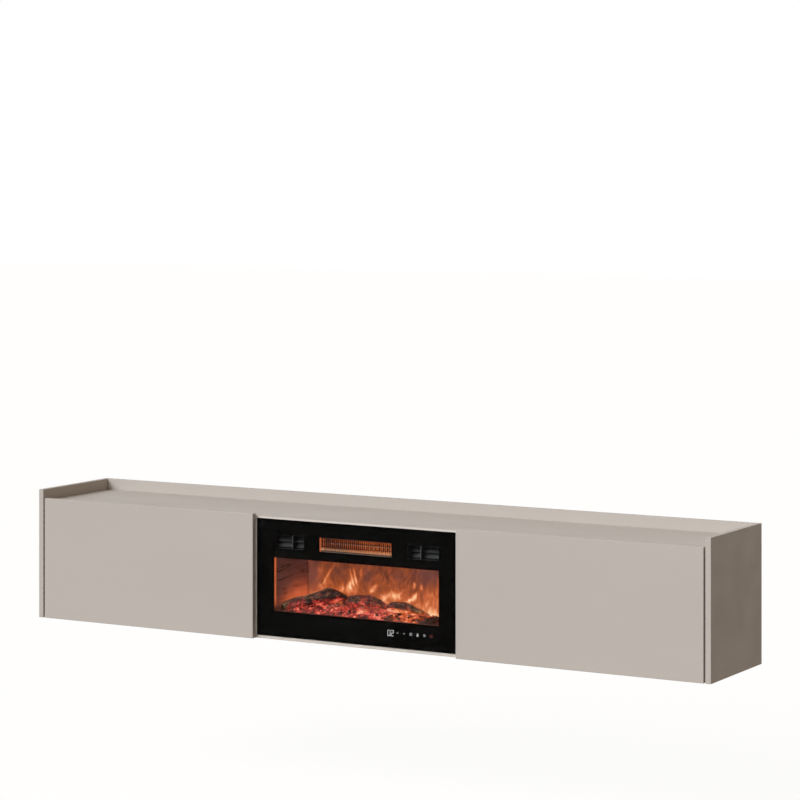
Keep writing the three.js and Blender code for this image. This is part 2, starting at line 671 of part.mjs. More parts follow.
// Logs: each runs between two places, given as shares of the firebox's inner width from its
// middle, shares of its depth from the front, and heights over its floor. Heights, radii and the
// rise of the bend are shares of the log radius, and slants are the rake of the two end cuts.
const barkWaves = { round: 5, along: 3, knotRound: 2, knotAlong: 9, swell: 11, ridge: 6 };
const logShares = [
  { name: 'log_rear_left', from: [-0.485, 0.08, 1.33], to: [-0.182, 0.49, 3.36],
    radii: [0.56, 1.25], rise: 0.05, slants: [0.2, 1.1], turn: 0.4 },
  { name: 'log_rear_middle', from: [-0.190, 0.57, 1.85], to: [0.112, 0.48, 1.36],
    radii: [1.0, 0.90], rise: 0.68, slants: [0.3, 0.7], turn: 1.7 },
  { name: 'log_rear_right', from: [0.131, 0.32, 2.35], to: [0.372, 0.47, 0.60],
    radii: [0.92, 0.48], rise: 0.45, slants: [0.1, 0.4], turn: 2.9 },
  { name: 'log_front_left', from: [-0.245, 0.16, 0.80], to: [-0.10, 0.31, 1.68],
    radii: [0.62, 0.70], rise: 0.12, slants: [0.4, 0.3], turn: 4.1 },
  { name: 'log_front_middle', from: [-0.036, 0.19, 1.27], to: [0.160, 0.20, 1.04],
    radii: [0.88, 0.80], rise: 0.1, slants: [0.2, 0.5], turn: 5.3 },
];

function inFirebox([across, deep, up]) {
  return new THREE.Vector3(
    across * 2 * fireboxX,
    THREE.MathUtils.lerp(fireboxY[0], fireboxY[1], deep),
    fireboxZ[0] + up * log.radius);
}

// A split, charred log: a bent tube whose section swells, grooves and twists along its length
function logSolid({ from, to, radii, rise, slants, turn }, grow) {
  const [start, end] = [inFirebox(from), inFirebox(to)];
  const along = end.clone().sub(start).normalize();
  const across = new THREE.Vector3(0, 0, 1).cross(along).normalize();
  const up = along.clone().cross(across);
  const length = end.distanceTo(start);
  const points = [];
  const endCutShares = [0.72, 0.93];
  for (let k = 0; k < log.stationCount; k += 1) {
    const share = k / (log.stationCount - 1);
    const fromEnd = Math.min(k, log.stationCount - 1 - k);
    const middle = start.clone().addScaledVector(along, share * length + grow * Math.sign(share - 0.5)
      * (fromEnd === 0 ? 1 : 0));
    middle.z += rise * log.radius * Math.sin(Math.PI * share);
    const base = THREE.MathUtils.lerp(radii[0], radii[1], share) * log.radius
      * (endCutShares[fromEnd] ?? 1);
    for (let j = 0; j < log.sideCount; j += 1) {
      const angle = 2 * Math.PI * j / log.sideCount;
      const knot = Math.sin(barkWaves.knotRound * angle - barkWaves.knotAlong * share + 2 * turn);
      const bark = log.grooveShare * Math.cos(barkWaves.round * angle + barkWaves.along * share + turn)
        + log.knotShare * knot * Math.sin(Math.PI * share)
        + log.ridgeShare * Math.max(0, Math.sin(angle)) ** barkWaves.ridge
        + log.grooveShare * Math.sin(barkWaves.swell * share + turn);
      const radius = base * (1 + bark) + grow;
      const rake = Math.max(0, 1 - share * 4) * slants[0] - Math.max(0, share * 4 - 3) * slants[1];
      points.push(middle.clone()
        .addScaledVector(along, rake * radius * Math.sin(angle))
        .addScaledVector(across, radius * Math.cos(angle))
        .addScaledVector(up, radius * Math.sin(angle)));
    }
  }
  return tubeSolid(points, log.sideCount, log.stationCount);
}

// Rings of points joined into a closed tube with flat fans at its two ends
function tubeSolid(points, around, rings) {
  const corners = [];
  for (let k = 0; k < rings - 1; k += 1) {
    for (let j = 0; j < around; j += 1) {
      const [a, b] = [k * around + j, k * around + (j + 1) % around];
      corners.push(a, b, b + around, a, b + around, a + around);
    }
  }
  const ends = [0, (rings - 1) * around].map((first) => {
    const middle = new THREE.Vector3();
    for (let j = 0; j < around; j += 1) middle.addScaledVector(points[first + j], 1 / around);
    return points.push(middle) - 1;
  });
  for (let j = 0; j < around; j += 1) {
    const next = (j + 1) % around;
    corners.push(ends[0], next, j);
    corners.push(ends[1], (rings - 1) * around + j, (rings - 1) * around + next);
  }
  const geometry = new THREE.BufferGeometry().setFromPoints(points);
  geometry.setIndex(corners);
  return solidOf(geometry);
}

// Moulded ember bed: a lumpy surface over the firebox floor, hollowed where the logs lie
function buildEmberBed(parent) {
  const [columns, rows] = [bed.columnCount, bed.rowCount];
  const half = fireboxX - seat;
  const [low, high] = [fireboxY[0] + seat, fireboxY[1] - bed.rearStrip];
  const bottom = fireboxZ[0] + seat;
  const surface = (across, deep) => {
    const hump = Math.sin(Math.PI * Math.min(1, 0.12 + 0.88 * deep)) ** 0.8;
    const ends = 1 - 0.45 * across ** 4;
    const lumps = Math.sin(37 * across + 5 * deep) * Math.sin(21 * deep + 2 * across)
      + 0.6 * Math.sin(71 * across - 13 * deep) + 0.5 * Math.sin(19 * across + 33 * deep);
    const rim = THREE.MathUtils.lerp(bed.frontRim, bed.rearRim, deep);
    return bottom + rim * ends + bed.crown * hump * ends + bed.lump * lumps * (1 - deep) / 2;
  };
  const points = [];
  for (let row = 0; row <= rows; row += 1) {
    for (let column = 0; column <= columns; column += 1) {
      const [across, deep] = [2 * column / columns - 1, row / rows];
      points.push(new THREE.Vector3(
        across * half, THREE.MathUtils.lerp(low, high, deep), surface(across, deep)));
    }
  }
  const corners = [];
  const at = (row, column) => row * (columns + 1) + column;
  for (let row = 0; row < rows; row += 1) {
    for (let column = 0; column < columns; column += 1) {
      const [a, b] = [at(row, column), at(row, column + 1)];
      const [c, d] = [at(row + 1, column + 1), at(row + 1, column)];
      corners.push(a, b, c, a, c, d);
    }
  }
  const rim = [];
  for (let column = 0; column < columns; column += 1) rim.push(at(0, column));
  for (let row = 0; row < rows; row += 1) rim.push(at(row, columns));
  for (let column = columns; column > 0; column -= 1) rim.push(at(rows, column));
  for (let row = rows; row > 0; row -= 1) rim.push(at(row, 0));
  const firstFoot = points.length;
  for (const top of rim) points.push(points[top].clone().setZ(bottom));
  const centre = points.push(new THREE.Vector3(0, (low + high) / 2, bottom)) - 1;
  rim.forEach((top, k) => {
    const next = (k + 1) % rim.length;
    corners.push(top, firstFoot + k, firstFoot + next, top, firstFoot + next, rim[next]);
    corners.push(centre, firstFoot + next, firstFoot + k);
  });
  const geometry = new THREE.BufferGeometry().setFromPoints(points);
  geometry.setIndex(corners);
  let solid = solidOf(geometry);
  for (const shares of logShares) solid = solid.subtract(logSolid(shares, seat));
  add('ember_bed', solid, 'ember', parent);
}

function buildLogs(parent) {
  logShares.forEach((shares, k) => {
    let solid = logSolid(shares, 0);
    for (const earlier of logShares.slice(0, k)) solid = solid.subtract(logSolid(earlier, seat));
    add(shares.name, solid, 'charredWood', parent);
  });
}

// Flame spindle: a shaft with three rows of thin reflectors, carried by a bush and a motor
const spindleY = screenY[1] + spindle.behindScreen;
const spindleZ = fireboxZ[0] + spindle.rise;
const spindleHalf = fireboxX - spindle.endInset;
const casingFloorZ = casingZ[0] + casing.steel;

function buildSpindle(parent) {
  const half = spindleHalf;
  let solid = joined(
    rod('x', spindle.shaftRadius, [-half, half], [0, 0, 0], roundSmall),
    rod('x', spindle.hubRadius, [-half + 2 * bush.width, half - 2 * bush.width], [0, 0, 0], roundSmall),
  );
  const count = Math.floor((2 * half - 6 * bush.width) / spindle.bladePitch);
  const first = -(count - 1) * spindle.bladePitch / 2;
  for (let k = 0; k < count; k += 1) {
    for (let row = 0; row < 3; row += 1) {
      const x = first + k * spindle.bladePitch + (row - 1) * spindle.bladePitch / 3;
      const blade = new THREE.BoxGeometry(spindle.bladeWidth, spindle.bladeSteel, spindle.bladeReach);
      blade.translate(0, 0, spindle.bladeReach / 2);
      blade.rotateX(row * 2 * Math.PI / 3);
      blade.translate(x, 0, 0);
      solid = solid.add(solidOf(blade));
    }
  }
  add('flame_spindle', solid, 'aluminium', parent, { position: [0, spindleY, spindleZ] });
}

function buildSpindleBush(parent) {
  const x = -spindleHalf;
  const xs = [x, x + bush.width];
  const footZ = casingFloorZ + seat;
  const post = outline([
    [spindleY - bush.foot, footZ],
    [spindleY + bush.foot, footZ],
    [spindleY + bush.foot, footZ + bush.steel],
    [spindleY + bush.post, footZ + bush.post],
    ...arcPoints([spindleY, spindleZ], bush.headRadius, bushArc.from, bushArc.to, bushArc.count),
    [spindleY - bush.post, footZ + bush.post],
    [spindleY - bush.foot, footZ + bush.steel],
  ]);
  post.holes.push(circle(spindleY, spindleZ, spindle.shaftRadius + seat));
  add('spindle_bush', prism('x', post, xs), 'greyPlastic', parent);
}

function buildSpindleMotor(parent) {
  const face = spindleHalf - spindleMotor.boreDepth + seat;
  const end = face + spindleMotor.boss + spindleMotor.length;
  const body = turned('x', [
    [spindle.shaftRadius + seat, face],
    [spindleMotor.bossRadius, face],
    [spindleMotor.bossRadius, face + spindleMotor.boss],
    [spindleMotor.radius, face + spindleMotor.boss],
    [spindleMotor.radius, end],
    [0, end],
    [0, face + spindleMotor.boreDepth + seat],
    [spindle.shaftRadius + seat, face + spindleMotor.boreDepth + seat],
    [spindle.shaftRadius + seat, face],
  ], [0, spindleY, spindleZ]);
  const footZ = casingFloorZ + seat;
  const legX = [face + spindleMotor.boss + seat, face + spindleMotor.boss + seat + bush.post];
  const leg = block(legX, [spindleY - bush.foot, spindleY + bush.foot],
    [footZ, spindleZ - spindleMotor.bossRadius]);
  add('spindle_motor', joined(body, leg), 'greyPlastic', parent);
}

// LED strip: an angle that stands on the casing floor and faces the spindle
function buildLeds(parent) {
  const half = spindleHalf - 2 * bush.width;
  const y = screenY[1] + leds.behindScreen;
  const topZ = spindleZ + leds.boardHeight / 2;
  const angle = outline([
    [y, casingFloorZ + seat],
    [y + leds.foot, casingFloorZ + seat],
    [y + leds.foot, casingFloorZ + seat + leds.steel],
    [y + leds.steel, casingFloorZ + seat + leds.steel],
    [y + leds.steel, topZ],
    [y, topZ],
  ]);
  let solid = prism('x', angle, [-half, half]);
  const count = Math.floor(2 * half / leds.pitch);
  for (let k = 0; k < count; k += 1) {
    const x = (k - (count - 1) / 2) * leds.pitch;
    solid = solid.add(block(
      [x - leds.size / 2, x + leds.size / 2],
      [y + leds.steel - weld, y + leds.steel + leds.rise],
      [spindleZ - leds.size / 2, spindleZ + leds.size / 2]));
  }
  add('led_strip', solid, 'circuitBoard', parent);
}

function buildCasing(parent) {
  const wrap = rectangle([-casingHalf, casingHalf], casingZ);
  wrap.holes.push(rectangle([-casingHalf + casing.steel, casingHalf - casing.steel],
    [casingZ[0] + casing.steel, casingZ[1] - casing.steel]));
  add('casing', prism('y', wrap, casingY), 'casingSteel', parent);

  const cover = rectangle([-casingHalf, casingHalf], casingZ);
  const slotHalf = (rearSlot.length - rearSlot.height) / 2;
  for (let row = 0; row < rearSlot.rowCount; row += 1) {
    for (let column = 0; column < rearSlot.columnCount; column += 1) {
      const x = (column - (rearSlot.columnCount - 1) / 2) * rearSlot.pitchX;
      const z = casingZ[1] - rearSlot.top - row * rearSlot.pitchZ;
      cover.holes.push(stadium(x - slotHalf, x + slotHalf, z, rearSlot.height / 2));
    }
  }
  const coverY = [casingY[1] + seat, casingY[1] + seat + casing.steel];
  const glandHole = rod('y', gland.bodyRadius + seat, [coverY[0] - overrun, coverY[1] + overrun],
    [gland.side, 0, casingZ[0] + gland.rise], round);
  add('rear_cover', prism('y', cover, coverY, 0, arcCoarse).subtract(glandHole), 'casingSteel', parent);
}

// The cord's strain relief in the rear cover: a flanged sleeve with the cord's bore
function buildGland(parent) {
  const coverY = casingY[1] + seat + casing.steel;
  const inside = casingY[1] - gland.flange;
  add('power_gland', turned('y', [
    [gland.boreRadius, inside],
    [gland.bodyRadius, inside],
    [gland.bodyRadius, coverY + seat],
    [gland.radius, coverY + seat],
    [gland.radius, coverY + seat + gland.flange],
    [gland.bodyRadius, coverY + seat + gland.flange],
    [gland.bodyRadius - gland.flange / 2, coverY + gland.nose],
    [gland.boreRadius, coverY + gland.nose],
    [gland.boreRadius, inside],
  ], [gland.side, 0, casingZ[0] + gland.rise], roundSmall), 'blackPlastic', parent);
}

// Sheet shelf with turned-up sides between the firebox and the heater
function buildShelf(parent) {
  const half = casingHalf - casing.steel - seat;
  const section = outline([
    [-half, shelfZ[0]],
    [half, shelfZ[0]],
    [half, shelfZ[1] + shelf.flange],
    [half - shelf.steel, shelfZ[1] + shelf.flange],
    [half - shelf.steel, shelfZ[1]],
    [-half + shelf.steel, shelfZ[1]],
    [-half + shelf.steel, shelfZ[1] + shelf.flange],
    [-half, shelfZ[1] + shelf.flange],
  ]);
  add('heater_shelf', prism('y', section, [casingY[0] + seat, casingY[1] - seat]), 'casingSteel', parent);
}

// Warm air duct: a straight throat for the grille that then widens to the element
const outletMiddleZ = (outletZ[0] + outletZ[1]) / 2;
const elementHalf = [outlet.width / 2 + element.spreadX, outlet.height / 2 + element.spreadZ];
const ductY = [behindFrameY, behindFrameY + duct.throat, behindFrameY + duct.length];

function buildDuct(parent) {
  const throat = [outlet.width / 2 + duct.clearance, outlet.height / 2 + duct.clearance];
  const ring = ([halfX, halfZ], y) => [[-1, -1], [1, -1], [1, 1], [-1, 1]].map(
    ([i, k]) => new THREE.Vector3(i * halfX, y, outletMiddleZ + k * halfZ));
  const grown = ([halfX, halfZ]) => [halfX + duct.steel, halfZ + duct.steel];
  const outside = tubeSolid([
    ...ring(grown(throat), ductY[0]), ...ring(grown(throat), ductY[1]),
    ...ring(grown(elementHalf), ductY[2]),
  ], 4, 3);
  const inside = tubeSolid([
    ...ring(throat, ductY[0] - overrun), ...ring(throat, ductY[1]), ...ring(elementHalf, ductY[2]),
    ...ring(elementHalf, ductY[2] + overrun),
  ], 4, 4);
  add('heater_duct', outside.subtract(inside), 'casingSteel', parent);
}

// Outlet grille: upright bars in a rim, with two stiffening rods behind them
function buildGrille(parent) {
  const halfX = outlet.width / 2 + duct.clearance - seat;
  const halfZ = outlet.height / 2 + duct.clearance - seat;
  const y = glassY[1] + grille.setBack;
  const rodY = y + grille.depth + grille.rodRadius + seat;
  const rim = roundedRectangle([-halfX, halfX], [outletMiddleZ - halfZ, outletMiddleZ + halfZ],
    grille.corner);
  const reach = halfZ - grille.rim;
  rim.holes.push(rectangle([grille.rim - halfX, halfX - grille.rim],
    [outletMiddleZ - reach, outletMiddleZ + reach]));
  let solid = prism('y', rim, [y, rodY + grille.rodRadius + seat], 0, arcCoarse);
  const count = Math.floor(2 * (halfX - grille.rim) / grille.pitch);
  for (let k = 0; k < count; k += 1) {
    const x = (k - (count - 1) / 2) * grille.pitch;
    const section = outline([
      [x - grille.bar / 2, y + grille.depth],
      [x, y],
      [x + grille.bar / 2, y + grille.depth],
    ]);
    solid = solid.add(prism('z', section, [outletMiddleZ - reach - weld, outletMiddleZ + reach + weld]));
  }
  const rodReach = halfX - grille.rim + weld;
  for (const k of [-1, 1]) {
    const centre = [0, rodY, outletMiddleZ + k * halfZ / 3];
    solid = solid.add(rod('x', grille.rodRadius, [-rodReach, rodReach], centre, roundTiny));
  }
  add('outlet_grille', solid, 'aluminium', parent);
}

// Heating element: two corrugated fins between three bars, in a frame
const elementY = [ductY[2] + seat, ductY[2] + seat + element.depth];

function buildElement(parent) {
  const [halfX, halfZ] = elementHalf;
  const rim = rectangle([-halfX, halfX], [outletMiddleZ - halfZ, outletMiddleZ + halfZ]);
  rim.holes.push(rectangle([-halfX + element.rim, halfX - element.rim],
    [outletMiddleZ - halfZ + element.rim, outletMiddleZ + halfZ - element.rim]));
  const finY = [elementY[0] + element.inset, elementY[1] - element.inset];
  const reach = halfX - element.rim + weld;
  let solid = prism('y', rim, elementY)
    .add(block([-reach, reach], finY, [outletMiddleZ - element.bar / 2, outletMiddleZ + element.bar / 2]));
  const count = 2 * Math.floor(reach / element.finPitch);
  for (const k of [-1, 1]) {
    const [near, far] = [element.bar / 2 - weld, halfZ - element.rim + weld];
    const zigzag = Array.from({ length: count + 1 }, (unused, j) => [
      (2 * j / count - 1) * (reach - element.finSheet),
      outletMiddleZ + k * (j % 2 === 0 ? near : far),
    ]);
    solid = solid.add(prism('y', ribbon(zigzag, element.finSheet), finY));
  }
  add('heating_element', solid, 'aluminium', parent);
}

// Cross-flow blower behind the element
const blowerRadius = blower.wheelRadius + blower.clearance;
const blowerY = elementY[1] + seat + blower.throat + blowerRadius;
const blowerZ = outletMiddleZ + blower.axisRise;
const wheelHalf = elementHalf[0] - blower.endInset;
const blowerEnd = wheelHalf + blower.sideGap;

function buildBlowerHousing(parent) {
  const mouthY = elementY[1] + seat;
  const mouthHalf = elementHalf[1] - element.rim;
  const sheetRadius = blowerRadius + blower.steel / 2;
  const scroll = [
    [mouthY, outletMiddleZ - mouthHalf],
    ...arcPoints([blowerY, blowerZ], sheetRadius, scrollArc.from, scrollArc.to, scrollArc.count),
    [blowerY, blowerZ + blowerRadius + blower.intakeLift],
  ];
  const tongue = [
    [mouthY, outletMiddleZ + mouthHalf],
    ...arcPoints([blowerY, blowerZ], sheetRadius, tongueArc.from, tongueArc.to, tongueArc.count),
  ];
  const xs = [-blowerEnd, blowerEnd];
  const sheet = joined(
    prism('x', ribbon(scroll, blower.steel), [xs[0] - weld, xs[1] + weld]),
    prism('x', ribbon(tongue, blower.steel), [xs[0] - weld, xs[1] + weld]),
  );
  const footZ = shelfZ[1] + seat;
  const cheek = outline([
    [mouthY, footZ],
    [blowerY + blower.wheelRadius, footZ],
    ...arcPoints([blowerY, blowerZ], blowerRadius + 2 * blower.steel, -30, 90, 8),
    [mouthY, outletMiddleZ + mouthHalf + blower.steel],
  ]);
  cheek.holes.push(circle(blowerY, blowerZ, blower.shaftRadius + seat));
  const cheeks = sides.map(([, s]) => prism('x', cheek, [s * blowerEnd, s * (blowerEnd + blower.steel)]));
  add('blower_housing', joined(sheet, ...cheeks), 'casingSteel', parent);
}

function buildBlowerWheel(parent) {
  const half = wheelHalf;
  const end = blowerEnd + blower.steel;
  let solid = rod('x', blower.shaftRadius, [-end, end + blower.shaftPast], [0, 0, 0], roundSmall);
  for (const x of [-half, -blower.disc / 2, half - blower.disc]) {
    solid = solid.add(rod('x', blower.wheelRadius, [x, x + blower.disc], [0, 0, 0], round));
  }
  for (let k = 0; k < blower.bladeCount; k += 1) {
    const turn = 2 * Math.PI * k / blower.bladeCount;
    const lean = blower.bladeReach / blower.wheelRadius / 2;
    const [inner, outer] = [blower.wheelRadius - blower.bladeReach, blower.wheelRadius - blower.blade];
    const blade = ribbon([
      [inner * Math.cos(turn), inner * Math.sin(turn)],
      [outer * Math.cos(turn + lean), outer * Math.sin(turn + lean)],
    ], blower.blade);
    solid = solid.add(prism('x', blade, [-half + blower.disc / 2, half - blower.disc / 2]));
  }
  add('blower_wheel', solid, 'blackPlastic', parent, { position: [0, blowerY, blowerZ] });
}

function buildBlowerMotor(parent) {
  const face = blowerEnd + blower.steel + seat;
  const bore = blower.shaftPast + seat;
  const [radius, edge] = [blowerMotor.radius, blowerMotor.edge];
  const start = face + blowerMotor.boss;
  const end = start + blowerMotor.length;
  add('blower_motor', turned('x', [
    [blower.shaftRadius + seat, face],
    [blowerMotor.bossRadius, face],
    [blowerMotor.bossRadius, start],
    [radius - edge, start],
    [radius, start + edge],
    [radius, end - edge],
    [radius - edge, end],
    [0, end],
    [0, face + bore],
    [blower.shaftRadius + seat, face + bore],
    [blower.shaftRadius + seat, face],
  ], [0, blowerY, blowerZ]), 'zincSteel', parent);
}

// Vent boxes: a tube behind the glass with a divider and tilted slats that hide what is behind
function buildVent(side, s, parent) {
  const xs = sorted(s * vent.inner, s * (vent.inner + vent.width));
  const c = louvre.clearance;
  const inner = [[xs[0] - c, xs[1] + c], [ventZ[0] - c, ventZ[1] + c]];
  const outer = inner.map(([low, high]) => [low - louvre.wall, high + louvre.wall]);
  const [xReach, zReach] = inner.map(([low, high]) => [low - weld, high + weld]);
  const tube = rectangle(...outer);
  tube.holes.push(rectangle(...inner));
  const y0 = behindFrameY;
  const dividerX = s * (vent.inner + louvre.dividerInner);
  let solid = prism('y', tube, [y0, y0 + louvre.depth]).add(block(
    [dividerX, dividerX + s * louvre.divider],
    [y0 + louvre.dividerStart, y0 + louvre.depth - louvre.dividerStart], zReach));
  const within = block(xReach, [y0, y0 + louvre.depth], zReach);
  for (let k = 0; k < louvre.slatCount; k += 1) {
    const z = ventZ[0] + louvre.firstSlat + k * louvre.slatPitch;
    const slat = ribbon([
      [y0 + louvre.slatStart, z],
      [y0 + louvre.slatStart + louvre.slatReach, z + louvre.slatRise],
    ], louvre.slat);
    solid = solid.add(prism('x', slat, xReach).intersect(within));
  }
  add(`${side}_vent`, solid, 'blackPlastic', parent);
}

function buildControl(parent) {
  const boardY = [behindFrameY, behindFrameY + control.board];
  const frontFaceY = printY[1] + control.stand;
  const padZ = controlZ[0] + control.padRise;
  let solid = prism('y', rectangle(controlX, controlZ), boardY);
  const display = controlX[0] + control.displayLeft;
  solid = solid.add(block(
    [display, display + control.displayWidth], [frontFaceY, boardY[0] + weld],
    [padZ - control.displayHeight / 2, padZ + control.displayHeight / 2]));
  for (let k = 0; k < control.padCount; k += 1) {
    const x = controlX[0] + control.padFirst + k * control.padPitch;
    solid = solid.add(rod('y', control.padRadius, [frontFaceY, boardY[0] + weld], [x, 0, padZ], roundSmall));
  }
  add('control_board', solid, 'circuitBoard', parent);
}

function buildFireplace(parent) {
  buildGlass(parent);
  buildFrame(parent);
  buildFirebox(parent);
  buildEmberBed(parent);
  buildLogs(parent);
  buildSpindle(parent);
  buildSpindleBush(parent);
  buildSpindleMotor(parent);
  buildLeds(parent);
  buildCasing(parent);
  buildGland(parent);
  buildShelf(parent);
  buildDuct(parent);
  buildGrille(parent);
  buildElement(parent);
  buildBlowerHousing(parent);
  buildBlowerWheel(parent);
  buildBlowerMotor(parent);
  for (const [side, s] of sides) buildVent(side, s, parent);
  buildControl(parent);
}

function buildFlap(side, s, parent) {
  const onDoor = new THREE.Group();
  parent.add(onDoor);
  buildDoor(side, s, onDoor);
  buildHingeCups(side, s, onDoor);
  buildStayBracket(side, s, onDoor);
  buildStrike(side, s, onDoor);
  buildStayArm(side, s, onDoor);
  buildHingeArms(side, s, parent);
  buildStayPost(side, s, parent);
  buildCatch(side, s, parent);
}

const carcase = new THREE.Group();
const fireplace = new THREE.Group();
buildCarcase(carcase);
buildBackSheets(carcase);
buildHangers(carcase);
for (const [side, s] of sides) buildFlap(side, s, carcase);
buildFireplace(fireplace);
model.add(carcase, fireplace);
model.position.z = -(upperRailZ + cabinet.height) / 2;

export default model;
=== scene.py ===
import json
import math
import random

import bmesh
import bpy
from bpy.props import FloatProperty, FloatVectorProperty, IntProperty, PointerProperty
from mathutils import Matrix, Vector, noise
from mathutils.bvhtree import BVHTree

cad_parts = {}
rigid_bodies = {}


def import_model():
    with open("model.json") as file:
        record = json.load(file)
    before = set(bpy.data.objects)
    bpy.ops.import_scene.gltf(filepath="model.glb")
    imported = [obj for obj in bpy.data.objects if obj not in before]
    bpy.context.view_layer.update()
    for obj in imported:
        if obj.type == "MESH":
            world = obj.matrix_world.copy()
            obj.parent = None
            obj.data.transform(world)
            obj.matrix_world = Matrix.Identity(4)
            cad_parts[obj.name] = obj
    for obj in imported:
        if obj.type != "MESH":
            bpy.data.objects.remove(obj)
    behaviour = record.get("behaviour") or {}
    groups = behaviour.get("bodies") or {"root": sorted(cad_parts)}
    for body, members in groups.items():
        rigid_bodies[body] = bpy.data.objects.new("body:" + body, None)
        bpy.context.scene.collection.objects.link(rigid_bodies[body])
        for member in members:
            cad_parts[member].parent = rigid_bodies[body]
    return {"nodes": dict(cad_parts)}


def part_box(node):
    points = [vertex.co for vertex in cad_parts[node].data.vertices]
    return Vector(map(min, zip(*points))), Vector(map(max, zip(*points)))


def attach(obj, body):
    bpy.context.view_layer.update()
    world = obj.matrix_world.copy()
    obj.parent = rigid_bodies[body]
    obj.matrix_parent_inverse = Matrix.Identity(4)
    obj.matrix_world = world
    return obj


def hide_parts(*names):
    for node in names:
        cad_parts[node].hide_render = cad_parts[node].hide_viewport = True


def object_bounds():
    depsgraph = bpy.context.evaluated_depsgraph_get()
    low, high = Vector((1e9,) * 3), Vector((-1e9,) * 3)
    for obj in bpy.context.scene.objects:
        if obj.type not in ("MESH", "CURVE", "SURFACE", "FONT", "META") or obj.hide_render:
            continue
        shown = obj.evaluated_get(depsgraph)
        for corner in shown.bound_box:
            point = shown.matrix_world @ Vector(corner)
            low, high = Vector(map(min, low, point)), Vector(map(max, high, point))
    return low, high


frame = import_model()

bl_info = {
    "name": "Wall-Hung Fireplace TV Cabinet",
    "version": (1, 0, 0),
    "blender": (4, 5, 0),
    "location": "View3D > Sidebar > Fireplace Cabinet",
    "description": "Finishes, fire, signs and fasteners of a wall-hung TV cabinet, and its studio",
    "category": "Object",
}

# The cabinet's box as it was modelled, before any piece is dressed
CAD_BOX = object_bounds()
SIDES = (("left", -1), ("right", 1))
# Each log's glow: on the face that looks at the viewer, at its foot in the embers and on its top
LOG_GLOW = {
    "log_rear_left": (0.32, 0.22, 0.16), "log_rear_middle": (0.56, 0.24, 0.34),
    "log_rear_right": (0.50, 0.36, 0.26), "log_front_left": (0.52, 0.30, 0.30),
    "log_front_middle": (0.74, 0.26, 0.55),
}


def tone(red, green, blue):
    """The linear colour of a shade that is given as it looks, 0 to 255."""
    def linear(value):
        share = value / 255
        return share / 12.92 if share <= 0.04045 else ((share + 0.055) / 1.055) ** 2.4
    return linear(red), linear(green), linear(blue), 1.0


def clamped(value):
    """A number held between 0 and 1."""
    return min(1.0, max(0.0, value))


def colour_property(name, description, shade):
    """A colour that the user can change, whose default is given as it looks."""
    return FloatVectorProperty(
        name=name, description=description, subtype="COLOR", size=4, min=0, max=1,
        default=tone(*shade))


def length_property(name, description, default):
    """A length in metres that the user can change."""
    return FloatProperty(
        name=name, description=description, default=default, min=0, unit="LENGTH",
        subtype="DISTANCE", precision=4)


def strength_property(name, description, default):
    """A brightness that the user can change."""
    return FloatProperty(name=name, description=description, default=default, min=0)


class CabinetLook(bpy.types.PropertyGroup):
    """Finishes of the boards."""
    foil: colour_property("Foil", "Colour of the boards and doors", (190, 182, 174))
    foil_roughness: FloatProperty(
        name="Foil roughness", description="Roughness of the satin foil", default=0.56, min=0,
        max=1, subtype="FACTOR")
    # Painted highlight: how much lighter than the foil the panels' front edges are painted
    edge_highlight: FloatProperty(
        name="Edge band", description="Lightness of the bands on the front edges", default=1.22,
        min=0.5, max=1.6)
    back: colour_property("Back sheets", "Colour of the painted hardboard", (176, 168, 158))
    texture: length_property("Foil texture", "Depth of the foil's fine emboss", 0.00004)


class HardwareLook(bpy.types.PropertyGroup):
    """Finishes and sizes of the fittings and screws."""
    zinc: colour_property("Zinc plate", "Colour of the hinges, stays and brackets", (176, 178, 180))
    screw_radius: length_property("Screw head", "Radius of a screw's head", 0.0042)
    screw_height: length_property("Screw dome", "Height of a screw's head", 0.0019)
    screw_shank: length_property("Screw shank", "Radius of a screw's shank", 0.0023)
    slot_width: length_property("Driver slot", "Width of the driver cross", 0.0009)


class FireLook(bpy.types.PropertyGroup):
    """Light and grain of the fire behind the glass."""
    flame_strength: strength_property("Flames", "Brightness of the flame picture", 1.0)
    ember_strength: strength_property("Embers", "Brightness of the glow in the bed and logs", 1.0)
    wall_strength: strength_property("Walls", "Brightness of the firelight on the walls", 0.8)
    heater_strength: strength_property(
        "Heater", "Brightness of the glowing heating element", 0.66)
    bark_relief: length_property("Bark relief", "Height of the ridges on a log", 0.0016)
    crack_depth: length_property("Crack depth", "Depth of the cracks in the charcoal", 0.0014)
    bed_relief: length_property("Bed relief", "Height of the lumps in the ember bed", 0.0042)
    coal_count: IntProperty(
        name="Coals", description="Number of loose coals on the bed", default=120, min=0)
    coal_size: length_property("Coal size", "Mean radius of a loose coal", 0.0042)
    seed: IntProperty(name="Seed", description="Start of the coals' scatter", default=11)


class SignLook(bpy.types.PropertyGroup):
    """Lit signs of the touch panel."""
    lit: colour_property("Lit sign", "Colour of the digits", (250, 250, 252))
    dim: colour_property("Dim sign", "Colour of the small signs", (168, 170, 174))
    power: colour_property("Power sign", "Colour of the power sign", (128, 28, 34))
    digit_height: length_property("Digit height", "Height of the two digits", 0.0148)
    digit_width: length_property("Digit width", "Width of one digit", 0.0080)
    sign_size: length_property("Sign size", "Height of a touch sign", 0.0078)
    thickness: length_property("Sign thickness", "Thickness of a lit sign", 0.00008)


